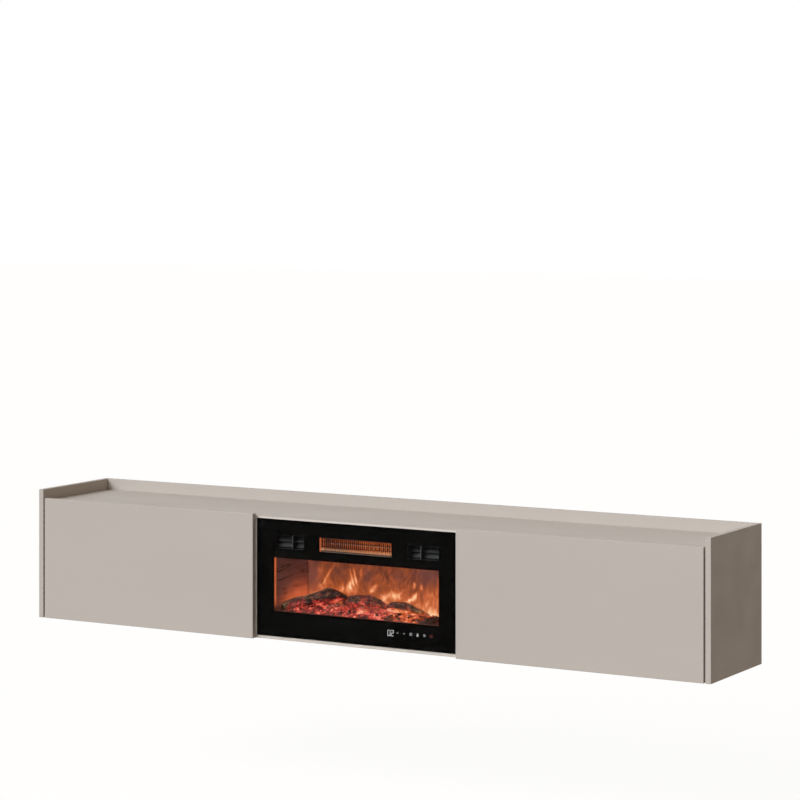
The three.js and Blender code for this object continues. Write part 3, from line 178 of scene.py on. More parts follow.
class StageLook(bpy.types.PropertyGroup):
    """Camera, lamps and floor."""
    camera_place: FloatVectorProperty(
        name="Camera place", description="Where the camera stands", subtype="TRANSLATION",
        unit="LENGTH", default=(3.7144, -6.55557, 0.96884))
    camera_turn: FloatProperty(
        name="Camera turn", description="Heading of the camera", subtype="ANGLE", unit="ROTATION",
        default=math.radians(29.788))
    lens: FloatProperty(name="Lens", description="Focal length in millimetres", default=127.16)
    shift: FloatProperty(name="Shift", description="Rise of the lens", default=-0.3023)
    floor_drop: length_property("Floor drop", "Floor below the cabinet's underside", 0.42)
    key_strength: strength_property("Key light", "Strength of the large soft lamp", 3.05)
    fill_strength: strength_property("Fill light", "Strength of the room's light", 0.25)


# Making and shaping

def deselect_all():
    """Leaves nothing selected, so that an operator acts on its own piece alone."""
    if bpy.context.object and bpy.context.object.mode != "OBJECT":
        bpy.ops.object.mode_set(mode="OBJECT")
    for piece in bpy.context.view_layer.objects:
        piece.select_set(False)


def take_up(piece):
    """Selects one piece alone and makes it active."""
    deselect_all()
    piece.select_set(True)
    bpy.context.view_layer.objects.active = piece
    return piece


def linked(name, data):
    """A new object in the scene for a mesh, curve, camera or lamp."""
    made = bpy.data.objects.new(name, data)
    bpy.context.scene.collection.objects.link(made)
    return made


def settle(piece, name=None):
    """Puts the piece's place into its mesh, so that its object sits at the origin."""
    take_up(piece)
    bpy.ops.object.transform_apply(location=True, rotation=True, scale=True)
    if name:
        piece.name = piece.data.name = name
    return piece


def primitive(kind, name, stretch=(1, 1, 1), **sizes):
    """Adds a mesh primitive at its size and place, stretched along its own axes."""
    deselect_all()
    getattr(bpy.ops.mesh, f"primitive_{kind}_add")(**sizes)
    bpy.context.object.scale = stretch
    return settle(bpy.context.object, name)


def pick_faces(piece, test):
    """Selects the faces whose middle and normal pass a test. The piece is in edit mode."""
    mesh = bmesh.from_edit_mesh(piece.data)
    for face in mesh.faces:
        face.select_set(False)
    chosen = [face for face in mesh.faces if test(face.calc_center_median(), face.normal)]
    for face in chosen:
        face.select_set(True)
    bmesh.update_edit_mesh(piece.data)
    if not chosen:
        raise RuntimeError(f"no face of {piece.name} was found to work on")


def edit(piece, mode="FACE"):
    """Enters edit mode on one piece."""
    take_up(piece)
    bpy.ops.object.mode_set(mode="EDIT")
    bpy.ops.mesh.select_mode(type=mode)


def leave_edit():
    """Goes back to object mode."""
    bpy.ops.object.mode_set(mode="OBJECT")


def apply_modifier(piece, kind, **settings):
    """Adds a modifier, sets it and applies it."""
    take_up(piece)
    modifier = piece.modifiers.new(kind.title(), kind)
    for key, value in settings.items():
        setattr(modifier, key, value)
    bpy.ops.object.modifier_apply(modifier=modifier.name)


def copied_node(node, name):
    """A free copy of a modelled node, with its loose triangles merged."""
    mesh = frame["nodes"][node].data.copy()
    mesh.materials.clear()
    mesh.name = name
    piece = linked(name, mesh)
    edit(piece, "VERT")
    bpy.ops.mesh.select_all(action="SELECT")
    bpy.ops.mesh.remove_doubles(threshold=0.00001)
    bpy.ops.mesh.normals_make_consistent(inside=False)
    leave_edit()
    return piece


def duplicate(piece, name):
    """A copy of a piece with its own mesh."""
    take_up(piece)
    bpy.ops.object.duplicate(linked=False)
    made = bpy.context.object
    made.name = made.data.name = name
    return made


def dress(piece, material, body=None):
    """Gives a piece one material, and a new piece its body and slot."""
    piece.data.materials.clear()
    piece.data.materials.append(material)
    if body:
        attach(piece, body)
    return piece


def dress_nodes(material, *nodes):
    """Gives the modelled nodes a better material."""
    for node in nodes:
        piece = frame["nodes"][node]
        if not piece.material_slots:
            piece.data.materials.append(material)
        for place in piece.material_slots:
            place.material = material


# Materials

BLACK = (0, 0, 0, 1)
WHITE = (1, 1, 1, 1)
# Numbers of the sockets of the colour mixing node, whose names are shared by other kinds
MIX_SHARE, MIX_FIRST, MIX_SECOND, MIX_RESULT = 0, 6, 7, 2
# How the drawing marks of rolled metal are stretched
DRAWING_MARKS = (0.15, 3, 3)


class Wiring:
    """A node tree in the making."""

    def __init__(self, tree):
        self.tree = tree
        tree.nodes.clear()

    def node(self, kind, inputs=None, output=None, **settings):
        """Adds a node, set and fed. Gives the node, or the output that is asked for."""
        made = self.tree.nodes.new(kind)
        for key, value in settings.items():
            setattr(made, key, value)
        for key, source in (inputs or {}).items():
            self.feed(made.inputs[key], source)
        return made if output is None else made.outputs[output]

    def feed(self, socket, source):
        """Sets an input to a number or colour, or links it to an output."""
        if isinstance(source, bpy.types.NodeSocket):
            self.tree.links.new(source, socket)
        else:
            socket.default_value = source

    def sum(self, first, second, operation="ADD"):
        """Two numbers added, or joined by another operation."""
        return self.node("ShaderNodeMath", {0: first, 1: second}, "Value", operation=operation)


class Finish(Wiring):
    """A material in the making: its nodes, its surface and the place on the piece."""

    def __init__(self, name, **surface):
        self.material = bpy.data.materials.new(name)
        self.material.use_nodes = True
        super().__init__(self.material.node_tree)
        self.surface = self.node("ShaderNodeBsdfPrincipled")
        self.node("ShaderNodeOutputMaterial", {"Surface": self.surface.outputs["BSDF"]})
        self.place = self.node("ShaderNodeTexCoord", output="Object")
        self.to_surface(**surface)

    def to_surface(self, **sources):
        """Sets or links inputs of the surface."""
        for key, source in sources.items():
            self.feed(self.surface.inputs[key.replace("_", " ")], source)

    def axis(self, name):
        """One coordinate of the place."""
        return self.node("ShaderNodeSeparateXYZ", {0: self.place}, name)

    def stretched(self, x, y, z):
        """The place, stretched along each axis."""
        return self.node("ShaderNodeMapping", {"Vector": self.place, "Scale": (x, y, z)}, "Vector")

    def noise(self, scale, detail=4.0, roughness=0.5, distortion=0.0, place=None):
        """Soft noise between 0 and 1."""
        return self.node("ShaderNodeTexNoise", {
            "Vector": place or self.place, "Scale": scale, "Detail": detail,
            "Roughness": roughness, "Distortion": distortion}, "Fac")

    def cells(self, scale):
        """Distances in a pattern of cells."""
        return self.node("ShaderNodeTexVoronoi", {"Vector": self.place, "Scale": scale}, "Distance")

    def waves(self, scale, distortion):
        """Bands between 0 and 1."""
        return self.node("ShaderNodeTexWave", {
            "Vector": self.place, "Scale": scale, "Distortion": distortion}, "Fac")

    def attribute(self, name):
        """A number kept on the mesh's points."""
        return self.node(
            "ShaderNodeAttribute", output="Fac", attribute_type="GEOMETRY", attribute_name=name)

    def span(self, source, low, high, source_low=0.0, source_high=1.0):
        """A number carried over from one range to another."""
        return self.node("ShaderNodeMapRange", {
            "Value": source, "From Min": source_low, "From Max": source_high, "To Min": low,
            "To Max": high}, "Result")

    def ramp(self, source, *stops):
        """Colours along a number: each stop is a place and a shade as it looks."""
        made = self.node("ShaderNodeValToRGB", {"Fac": source})
        elements = made.color_ramp.elements
        for element, (place, *shade) in zip((elements[1], elements[0]), (stops[-1], stops[0])):
            element.position, element.color = place, tone(*shade)
        for place, *shade in stops[1:-1]:
            elements.new(place).color = tone(*shade)
        return made.outputs["Color"]

    def mixed(self, share, first, second):
        """Two colours mixed."""
        return self.node(
            "ShaderNodeMix", {MIX_SHARE: share, MIX_FIRST: first, MIX_SECOND: second}, MIX_RESULT,
            data_type="RGBA")

    def toned(self, pattern, low, high, colour, dark, pale):
        """A colour that goes from darker to paler as a pattern goes from low to high."""
        return self.mixed(
            self.span(pattern, 0, 1, low, high), shaded(colour, dark), shaded(colour, pale))

    def bumped(self, height, distance, strength):
        """Adds small relief, with its depth in metres, and gives the finished material."""
        self.to_surface(Normal=self.node("ShaderNodeBump", {
            "Height": height, "Distance": distance, "Strength": strength}, "Normal"))
        return self.material


def shaded(colour, factor):
    """A colour made lighter or darker."""
    return tuple(min(1.0, value * factor) for value in colour[:3]) + (1.0,)


def board_foil(look, edge_highlight=1.0):
    """Satin foil on board: a faint cloudiness, a fine emboss and the odd dull smear. The
    narrow front edges may be given a painted highlight, a lighter foil on front-facing faces."""
    made = Finish("board_foil" if edge_highlight == 1.0 else "edge_highlight_foil")
    cloud = made.noise(2.6, 3, 0.55, place=made.stretched(0.6, 1, 1.4))
    speck = made.noise(1400, 2, 0.6)
    colour = made.toned(cloud, 0.3, 0.7, look.foil, 0.975, 1.02)
    colour = made.mixed(made.span(speck, 0, 0.16, 0.35, 0.75), colour, shaded(look.foil, 0.9))
    # Painted highlight: faces that look to the front are painted in a lighter foil
    if edge_highlight != 1.0:
        normal = made.node("ShaderNodeNewGeometry", output="Normal")
        facing = made.node("ShaderNodeSeparateXYZ", {0: normal}, "Y")
        front = made.span(facing, 1, 0, -0.9, -0.7)
        colour = made.mixed(front, colour, shaded(look.foil, edge_highlight))
    smear = made.noise(11, 4, 0.6, 0.4, made.stretched(0.35, 1, 1))
    rough = made.span(smear, look.foil_roughness - 0.07, look.foil_roughness + 0.07, 0.3, 0.7)
    made.to_surface(Base_Color=colour, Roughness=rough)
    return made.bumped(made.noise(2600, 3, 0.55), look.texture, 0.5)


def hardboard(look):
    """Painted hardboard: short fibres that show through a thin coat."""
    made = Finish("hardboard")
    fibres = made.noise(420, 5, 0.65, 0.6, made.stretched(1, 1, 0.35))
    made.to_surface(
        Base_Color=made.toned(fibres, 0.35, 0.65, look.back, 0.9, 1.03),
        Roughness=made.span(fibres, 0.7, 0.9))
    return made.bumped(fibres, 0.00012, 0.5)


def zinc_plate(look):
    """Zinc-plated steel: a dull spangle with rolled streaks."""
    made = Finish("zinc_plate", Metallic=1.0)
    streak = made.noise(60, 4, 0.6, place=made.stretched(0.2, 3, 3))
    made.to_surface(
        Base_Color=made.toned(made.cells(170), 0.1, 0.8, look.zinc, 0.86, 1.08),
        Roughness=made.span(streak, 0.26, 0.46, 0.3, 0.7))
    return made.bumped(streak, 0.00003, 0.4)


def powder_coat(name, shade, roughness=0.52, metallic=0.0):
    """Powder coat: an even colour with a fine peel."""
    made = Finish(name, Metallic=metallic)
    dust = made.noise(24, 4, 0.6)
    made.to_surface(
        Base_Color=made.toned(dust, 0.35, 0.7, tone(*shade), 0.88, 1.15),
        Roughness=made.span(dust, roughness - 0.07, roughness + 0.09, 0.3, 0.7))
    return made.bumped(made.noise(900, 2, 0.5), 0.00006, 0.45)


def moulded_plastic(name, shade, roughness=0.5):
    """Moulded plastic: a spark-eroded grain and a slight sheen where it was handled."""
    made = Finish(name)
    handled = made.noise(17, 3, 0.5)
    made.to_surface(
        Base_Color=made.toned(handled, 0.35, 0.65, tone(*shade), 0.92, 1.1),
        Roughness=made.span(handled, roughness - 0.1, roughness + 0.06, 0.3, 0.7))
    return made.bumped(made.noise(1700, 3, 0.6), 0.00005, 0.5)


def clear_pane():
    """Tempered front glass: clear, with faint wiping streaks in its gloss."""
    made = Finish("clear_pane", Transmission_Weight=1.0, IOR=1.045)
    streak = made.noise(9, 4, 0.6, 0.5, made.stretched(0.3, 1, 1.6))
    made.to_surface(
        Base_Color=made.mixed(streak, (0.94, 0.95, 0.95, 1), (0.97, 0.97, 0.97, 1)),
        Roughness=made.span(streak, 0.0, 0.012, 0.45, 0.8))
    return made.material


def black_print():
    """Black ceramic print on the back of the glass, with pinholes too small to light."""
    made = Finish("black_print", Specular_IOR_Level=0.02)
    fine = made.noise(1200, 2, 0.5)
    made.to_surface(
        Base_Color=made.mixed(fine, (0.0010, 0.0008, 0.0008, 1), (0.0017, 0.0014, 0.0013, 1)),
        Roughness=made.span(fine, 0.32, 0.5))
    return made.bumped(fine, 0.00002, 0.3)


def firebox_print(look):
    """Printed sheet of the firebox's walls: dark wavy grain on mauve brown, with painted firelight
    and painted shade.
    """
    made = Finish("firebox_print", Roughness=0.5, Specular_IOR_Level=0.3)
    low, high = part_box("firebox_liner")
    up, deep = made.axis("Z"), made.axis("Y")
    swirl = made.noise(9, 3, 0.6, 1.8, made.stretched(1, 1.4, 2.4))
    grain = made.noise(3.8, 5, 0.6, 1.4, made.stretched(1, 2.2, 15))
    grain = made.sum(grain, made.span(swirl, -0.13, 0.13))
    share = made.sum(made.span(up, 0, 1, low.z, high.z), made.span(swirl, -0.08, 0.08))
    share = made.sum(share, made.span(deep, 0.16, -0.04, low.y, low.y + 0.10))
    # Painted firelight on the walls: brightest low down and dimmer towards the front
    glow = made.ramp(
        share, (0.1, 226, 112, 68), (0.24, 206, 96, 56), (0.36, 150, 70, 44), (0.5, 86, 44, 32),
        (0.66, 56, 33, 28), (1.0, 48, 31, 29))
    foot = made.sum(
        made.span(up, 1, 0, low.z + 0.020, low.z + 0.040),
        made.span(deep, 1, 0, low.y + 0.01, low.y + 0.06), "MULTIPLY")
    # Painted shade on the firelight at the front, in the rear corner and low at the front, and a
    # dimmer light along the dark grain
    for amount, shade in (
            (made.span(deep, 0.6, 0, low.y, low.y + 0.055), (30, 16, 12)),
            (made.span(deep, 0, 0.55, high.y - 0.010, high.y - 0.004), (44, 22, 18)),
            (foot, (26, 22, 18)),
            (made.span(grain, 0.75, 0, 0.3, 0.44), (26, 12, 10))):
        glow = made.mixed(amount, glow, tone(*shade))
    made.to_surface(
        Base_Color=made.ramp(
            grain, (0.35, 30, 16, 16), (0.41, 92, 58, 53), (0.58, 112, 75, 69), (0.74, 96, 62, 56)),
        Emission_Color=glow, Emission_Strength=look.wall_strength)
    return made.bumped(grain, 0.0003, 0.4)


def frame_coat(look):
    """Black coat on the front frame, with painted firelight on the folded lip around the window."""
    made = Finish("frame_coat", Metallic=0.5)
    uneven = made.noise(46, 3, 0.55)
    low, high = (corner.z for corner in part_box("firebox_liner"))
    lit = made.sum(
        made.span(made.axis("Z"), 1, 0, high, high + 0.001),
        made.span(made.axis("Z"), 0.1, 1, low + 0.020, low + 0.038), "MULTIPLY")
    glow = made.ramp(uneven, (0.3, 186, 84, 42), (0.7, 216, 106, 56))
    made.to_surface(
        Base_Color=made.mixed(uneven, tone(34, 31, 30), tone(48, 44, 42)),
        Emission_Color=made.mixed(lit, BLACK, glow), Emission_Strength=look.wall_strength,
        Roughness=made.span(uneven, 0.4, 0.55))
    return made.bumped(made.noise(900, 2, 0.5), 0.00006, 0.45)


def flame_light(look):
    """Flame picture lit from behind. The heat kept on the points picks the colour."""
    made = Finish("flame_light", Roughness=0.6, Specular_IOR_Level=0.1)
    wisps = made.noise(34, 5, 0.6, 2.2, made.stretched(1.3, 1, 0.7))
    fine = made.noise(120, 4, 0.6, 0.8, made.stretched(1.3, 1, 0.45))
    heat = made.sum(made.attribute("fire_picture"), made.span(wisps, -0.09, 0.09, 0.32, 0.68))
    heat = made.sum(heat, made.span(fine, -0.03, 0.03, 0.3, 0.7))
    glow = made.ramp(
        heat, (0.0, 58, 24, 15), (0.16, 94, 46, 30), (0.30, 126, 62, 37), (0.44, 160, 76, 38),
        (0.58, 196, 96, 52), (0.72, 228, 138, 88), (0.86, 248, 186, 136), (1.0, 255, 224, 180))
    haze = made.sum(made.attribute("fire_haze"), 0.75, "MULTIPLY")
    made.to_surface(
        Base_Color=made.mixed(heat, (0.012, 0.006, 0.006, 1), (0.06, 0.03, 0.02, 1)),
        Emission_Color=made.mixed(haze, glow, tone(112, 66, 60)),
        Emission_Strength=look.flame_strength)
    return made.material


def fire_glow(made, look, heat, strength):
    """Glow of a lit piece: pink where its tint is 0 and orange where it is 1."""
    pink = made.ramp(
        heat, (0.14, 0, 0, 0), (0.36, 92, 24, 20), (0.58, 178, 48, 38), (0.76, 228, 90, 70),
        (1.0, 255, 168, 136))
    orange = made.ramp(
        heat, (0.14, 0, 0, 0), (0.36, 94, 34, 12), (0.58, 180, 66, 26), (0.76, 222, 98, 52),
        (1.0, 255, 168, 120))
    made.to_surface(
        Emission_Color=made.mixed(made.attribute("tint"), pink, orange),
        Emission_Strength=strength * look.ember_strength)


def ember_glow(look):
    """Translucent ember bed: ash over a moulding that glows where the points say."""
    made = Finish("ember_glow", Roughness=0.8, Specular_IOR_Level=0.2)
    grit = made.noise(330, 4, 0.65)
    patches = made.noise(78, 4, 0.62, 0.8)
    heat = made.sum(made.attribute("glow"), made.span(patches, -0.58, 0.5, 0.25, 0.75))
    fire_glow(made, look, heat, 1.0)
    made.to_surface(
        Base_Color=made.ramp(grit, (0.3, 26, 18, 17), (0.55, 62, 42, 36), (0.8, 116, 96, 82)))
    return made.bumped(grit, 0.0005, 0.7)


def charcoal(look):
    """Charred log: split bark with grey and olive flecks, and glow where the fire lights it."""
    made = Finish("charcoal", Roughness=0.8, Specular_IOR_Level=0.25)
    fleck = made.noise(64, 4, 0.64, 0.7)
    pale = made.noise(130, 3, 0.55)
    patches = made.noise(58, 4, 0.6, 0.8)
    base = made.ramp(
        made.attribute("bark"), (0.08, 18, 11, 9), (0.36, 66, 41, 33), (0.66, 104, 66, 50),
        (1.0, 144, 106, 70))
    base = made.mixed(made.span(fleck, 0, 0.65, 0.56, 0.70), base, tone(124, 104, 46))
    base = made.mixed(made.span(pale, 0, 0.8, 0.72, 0.78), base, tone(206, 184, 140))
    heat = made.sum(made.attribute("glow"), made.span(patches, -0.42, 0.42, 0.25, 0.75))
    fire_glow(made, look, heat, 0.9)
    made.to_surface(Base_Color=base, Roughness=made.span(fleck, 0.92, 0.62))
    return made.bumped(made.noise(330, 5, 0.65), 0.0008, 0.8)


def heater_wire(look):
    """Heating element: ribbons that glow orange, more to the right and at their foot."""
    made = Finish("heater_wire", Metallic=0.3)
    scale = made.noise(240, 3, 0.6)
    low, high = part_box("heating_element")
    heat = made.span(made.noise(36, 3, 0.5, place=made.stretched(1, 1, 2)), -0.2, 0.2, 0.3, 0.7)
    # Painted light and shade in the glow: brighter towards the foot and darker to the left
    heat = made.sum(heat, made.span(made.axis("Z"), 0.70, 0.30, low.z, high.z))
    heat = made.sum(heat, made.span(made.axis("X"), -0.42, 0.1, low.x, 0.03))
    made.to_surface(
        Base_Color=made.mixed(scale, tone(120, 96, 84), tone(180, 150, 128)),
        Roughness=made.span(scale, 0.35, 0.6), Emission_Strength=look.heater_strength,
        Emission_Color=made.ramp(
            heat, (0.0, 72, 36, 26), (0.4, 158, 72, 34), (0.7, 216, 112, 56),
            (1.0, 246, 176, 116)))
    return made.material


def bare_metal(name, shade, rough, stretch=DRAWING_MARKS):
    """Rolled aluminium or steel with long drawing marks."""
    made = Finish(name, Metallic=1.0)
    drawn = made.noise(180, 4, 0.6, place=made.stretched(*stretch))
    made.to_surface(
        Base_Color=made.mixed(drawn, shaded(tone(*shade), 0.88), shaded(tone(*shade), 1.06)),
        Roughness=made.span(drawn, *rough, 0.3, 0.7))
    return made.bumped(drawn, 0.00003, 0.35)


def painted_light_steel(name, look, painted_light_part, shades, painted_lights, roughest):
    """Rolled steel beside the heater, with painted light as bright as the heater's glow where a
    mask says.
    """
    made = Finish(name, Metallic=0.8)
    drawn = made.noise(180, 4, 0.6, place=made.stretched(*DRAWING_MARKS))
    base, glow = (
        made.mixed(drawn, tone(*dark), tone(*pale)) for dark, pale in (shades, painted_lights))
    made.to_surface(
        Base_Color=base, Emission_Color=made.mixed(painted_light_part(made), BLACK, glow),
        Emission_Strength=look.heater_strength, Roughness=made.span(drawn, 0.3, roughest))
    return made.bumped(drawn, 0.00003, 0.35)


def grille_highlight_feet(made):
    """1 at the lower ends of the grille's bars, where a painted highlight goes, and 0 elsewhere."""
    up, low = made.axis("Z"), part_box("outlet_grille")[0].z
    return made.sum(
        made.span(up, 0, 1, low + 0.0024, low + 0.0032),
        made.span(up, 1, 0, low + 0.006, low + 0.010), "MULTIPLY")


def duct_glow_sides(made):
    """1 on the duct's side walls, where painted firelight goes, and 0 between them."""
    across, half = made.axis("X"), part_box("outlet_grille")[1].x
    return made.span(
        made.sum(across, across, "MULTIPLY"), 0, 1, (half - 0.0006) ** 2, half ** 2)


def solder_board():
    """Circuit board: green resist over faint tracks."""
    made = Finish("solder_board", Roughness=0.35, Coat_Weight=0.4, Coat_Roughness=0.2)
    tracks = made.waves(95, 2.5)
    base = made.mixed(made.span(tracks, 0, 1, 0.7, 0.8), tone(22, 66, 44), tone(44, 96, 60))
    made.to_surface(Base_Color=base, Roughness=made.span(made.noise(700), 0.28, 0.42))
    return made.bumped(tracks, 0.00004, 0.5)


def sign_light(name, colour):
    """A sign lit from behind through a diffuser with slightly uneven light."""
    made = Finish(name, Roughness=0.5, Emission_Strength=1.0)
    uneven = made.noise(420, 2, 0.5)
    made.to_surface(
        Base_Color=made.mixed(uneven, shaded(colour, 0.1), shaded(colour, 0.16)),
        Emission_Color=made.mixed(uneven, shaded(colour, 0.9), colour))
    return made.material


# Screws

# Widths of the head's dome, step by step, and length of the shank in heights of the head
DOME_WIDTHS = (0.86, 0.7)
SHANK_LENGTH = 1.2
# Places of the screws in metres: spread to both sides of a fitting's middle, inset from its edge,
# and seat on its plate
PLATE_SPREAD, PLATE_INSET, PLATE_SEAT = 0.013, 0.0210, 0.0027
CUP_SPREAD = 0.0222
STAY_SPREAD, STAY_INSET, STAY_SEAT = 0.009, 0.0120, 0.0020
HANGER_SPREAD, HANGER_INSET, HANGER_SEAT = 0.010, 0.030, 0.0025
COVER_COLUMNS, COVER_INSET = (-0.27, -0.09, 0.09, 0.27), 0.009


def screw_pattern(look):
    """A pan-head cross screw whose head stands on the ground plane, with its axis up."""
    step = look.screw_height / 3
    pattern = primitive(
        "cylinder", "screw_pattern", vertices=20, radius=look.screw_radius, depth=step,
        location=(0, 0, step / 2))
    edit(pattern)
    pick_faces(pattern, lambda middle, normal: normal.z > 0.9)
    for width in DOME_WIDTHS:
        bpy.ops.mesh.extrude_region_move(TRANSFORM_OT_translate={"value": (0, 0, step)})
        bpy.ops.transform.resize(value=(width, width, 1))
    pick_faces(pattern, lambda middle, normal: normal.z < -0.9)
    bpy.ops.mesh.inset(thickness=look.screw_radius - look.screw_shank)
    bpy.ops.mesh.extrude_region_move(
        TRANSFORM_OT_translate={"value": (0, 0, -SHANK_LENGTH * look.screw_height)})
    leave_edit()
    for turn in (0, math.pi / 2):
        bit = primitive(
            "cube", "driver_bit", size=1, location=(0, 0, look.screw_height), rotation=(0, 0, turn),
            stretch=(look.screw_radius, look.slot_width, look.screw_height))
        apply_modifier(pattern, "BOOLEAN", object=bit, operation="DIFFERENCE", solver="EXACT")
        bpy.data.objects.remove(bit)
    take_up(pattern)
    bpy.ops.object.shade_smooth_by_angle(angle=math.radians(40))
    return pattern


def set_screw(pattern, name, place, direction, turn, material, body):
    """Copies the pattern screw to a place, with its head facing a direction."""
    screw = duplicate(pattern, name)
    facing = Vector(direction).to_track_quat("Z", "Y").to_matrix().to_4x4()
    screw.matrix_world = (
        Matrix.Translation(Vector(place)) @ facing @ Matrix.Rotation(turn, 4, "Z"))
    settle(screw)
    return dress(screw, material, body)


def screw_places():
    """Every screw that shows: its name, place, facing direction and body."""
    for side, s in SIDES:
        for end in ("outer", "inner"):
            low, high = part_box(f"{side}_door_{end}_hinge_arm")
            middle = (low + high) / 2
            for k, way in enumerate((-1, 1), 1):
                yield (f"{side}_door_{end}_plate_screw_{k}",
                       (middle.x + way * PLATE_SPREAD, high.y - PLATE_INSET, low.z + PLATE_SEAT),
                       (0, 0, 1), "cabinet")
            low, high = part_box(f"{side}_door_{end}_hinge_cup")
            middle = (low + high) / 2
            for k, way in enumerate((-1, 1), 1):
                yield (f"{side}_door_{end}_cup_screw_{k}",
                       (middle.x + way * CUP_SPREAD, high.y, middle.z), (0, 1, 0), f"{side}_door")
        low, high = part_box(f"{side}_stay_bracket")
        middle = (low + high) / 2
        foot_x = low.x + STAY_INSET if s > 0 else high.x - STAY_INSET
        for k, way in enumerate((-1, 1), 1):
            yield (f"{side}_stay_bracket_screw_{k}",
                   (foot_x, low.y + STAY_SEAT, middle.z + way * STAY_SPREAD), (0, 1, 0),
                   f"{side}_door")
        low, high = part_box(f"{side}_hanging_bracket")
        middle = (low + high) / 2
        wall_x = high.x if s > 0 else low.x
        for k, way in enumerate((-1, 1), 1):
            offset = way * HANGER_SPREAD
            yield (f"{side}_hanger_side_screw_{k}",
                   (wall_x - s * HANGER_SEAT, high.y - HANGER_INSET + offset, middle.z + offset),
                   (-s, 0, 0), "cabinet")
    low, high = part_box("rear_cover")
    for k, across in enumerate(COVER_COLUMNS, 1):
        for row, up in (("top", high.z - COVER_INSET), ("bottom", low.z + COVER_INSET)):
            yield (f"rear_cover_{row}_screw_{k}", (across, high.y, up), (0, 1, 0), "cabinet")


# Fire

# Tongues of the flame picture: points across from the screen's middle and up from its foot, in
# metres, with each tongue's half-width and its added heat
TONGUES = (
    (((-0.166, 0.119), (-0.181, 0.102), (-0.190, 0.087), (-0.199, 0.068), (-0.211, 0.060)),
     0.0034, 0.24),
    (((-0.137, 0.076), (-0.138, 0.064), (-0.137, 0.050)), 0.0036, 0.20),
    (((-0.125, 0.074), (-0.124, 0.062), (-0.126, 0.048)), 0.0030, 0.16),
    (((-0.117, 0.112), (-0.110, 0.088), (-0.100, 0.064)), 0.0036, 0.33),
    (((-0.107, 0.120), (-0.102, 0.094), (-0.093, 0.068)), 0.0038, 0.36),
    (((-0.114, 0.084), (-0.116, 0.068), (-0.112, 0.054)), 0.0044, 0.30),
    (((-0.080, 0.120), (-0.086, 0.104), (-0.082, 0.092)), 0.0052, 0.18),
    (((-0.032, 0.076), (-0.047, 0.065), (-0.056, 0.050)), 0.0062, 0.30),
    (((0.078, 0.095), (0.080, 0.084), (0.079, 0.072)), 0.0042, 0.36),
    (((0.089, 0.069), (0.083, 0.057), (0.074, 0.047), (0.054, 0.036)), 0.0060, 0.40),
    (((0.097, 0.088), (0.100, 0.079), (0.102, 0.070)), 0.0052, 0.28),
    (((0.064, 0.108), (0.053, 0.092), (0.048, 0.076)), 0.0022, 0.20),
    (((0.070, 0.098), (0.062, 0.084), (0.060, 0.070)), 0.0022, 0.16),
    (((-0.020, 0.112), (-0.006, 0.090), (-0.024, 0.072)), 0.0040, 0.12),
    (((0.020, 0.116), (0.010, 0.098), (0.026, 0.078)), 0.0040, 0.10),
    (((0.150, 0.112), (0.158, 0.090), (0.150, 0.064)), 0.0060, 0.30),
    (((0.186, 0.104), (0.178, 0.082), (0.190, 0.056)), 0.0064, 0.30),
    (((0.216, 0.096), (0.222, 0.076), (0.212, 0.050)), 0.0054, 0.26),
)
# Broad lights and shadows of the picture: middle, half-sizes and added heat
BLOOMS = (
    ((-0.211, 0.104), (0.011, 0.010), 0.28),
    ((-0.206, 0.056), (0.014, 0.008), 0.22),
    ((-0.225, 0.040), (0.030, 0.016), 0.12),
    ((-0.136, 0.050), (0.028, 0.010), 0.20),
    ((-0.108, 0.062), (0.014, 0.016), 0.14),
    ((-0.062, 0.096), (0.010, 0.013), -0.16),
    ((-0.042, 0.102), (0.008, 0.014), -0.14),
    ((-0.158, 0.096), (0.014, 0.018), -0.08),
    ((-0.004, 0.101), (0.011, 0.010), -0.12),
    ((0.016, 0.050), (0.023, 0.011), 0.36),
    ((-0.016, 0.043), (0.014, 0.010), 0.26),
    ((0.117, 0.027), (0.030, 0.036), 0.10),
    ((0.135, 0.004), (0.016, 0.016), 0.30),
    ((0.112, 0.110), (0.034, 0.014), -0.07),
    ((0.205, 0.020), (0.050, 0.030), 0.22),
)
# Mauve haze of the picture: middle, half-sizes and strength
HAZES = (
    ((0.118, 0.112), (0.042, 0.026), 1.0),
    ((-0.232, 0.088), (0.024, 0.046), 1.0),
    ((-0.062, 0.096), (0.012, 0.018), 0.8),
    ((-0.150, 0.104), (0.016, 0.016), 0.4),
    ((0.028, 0.100), (0.014, 0.014), 0.5),
    ((0.205, 0.110), (0.040, 0.030), 0.9),
)
# Heaps of embers under the leaning log: middle, half-sizes and share of the full height
EMBER_MOUNDS = (
    ((-0.128, -0.188), (0.034, 0.014), 1.0),
    ((-0.172, -0.192), (0.026, 0.012), 0.5),
)
# Height of the heaps, and of the picture above its hot foot, in metres
MOUND_HEIGHT = 0.014
PICTURE_HEIGHT = 0.110
# Sizes of the small cubes in which the logs and the bed are meshed anew
LOG_VOXEL, BED_VOXEL = 0.0013, 0.0017


def bloomed(x, z, blooms):
    """Sum of broad soft spots at a place."""
    return sum(
        gain * math.exp(-((x - cx) / rx) ** 2 - ((z - cz) / rz) ** 2)
        for (cx, cz), (rx, rz), gain in blooms)


def tongue_heat(x, z, points, half_width, heat):
    """Heat that one curved tongue adds, widest at its foot and soft at its edges."""
    best = 0.0
    last = len(points) - 1
    reach = 3 * half_width
    for k in range(last):
        (ax, az), (bx, bz) = points[k], points[k + 1]
        if not (min(ax, bx) - reach < x < max(ax, bx) + reach):
            continue
        run = (bx - ax, bz - az)
        share = clamped(
            ((x - ax) * run[0] + (z - az) * run[1]) / (run[0] ** 2 + run[1] ** 2))
        gap = math.hypot(x - ax - share * run[0], z - az - share * run[1])
        along = (k + share) / last
        width = half_width * (0.55 + 0.45 * math.sin(math.pi * along))
        fade = min(1.0, 3 * along + 0.35, 3 * (1 - along) + 0.35)
        best = max(best, fade * math.exp(-(gap / width) ** 2))
    return heat * best


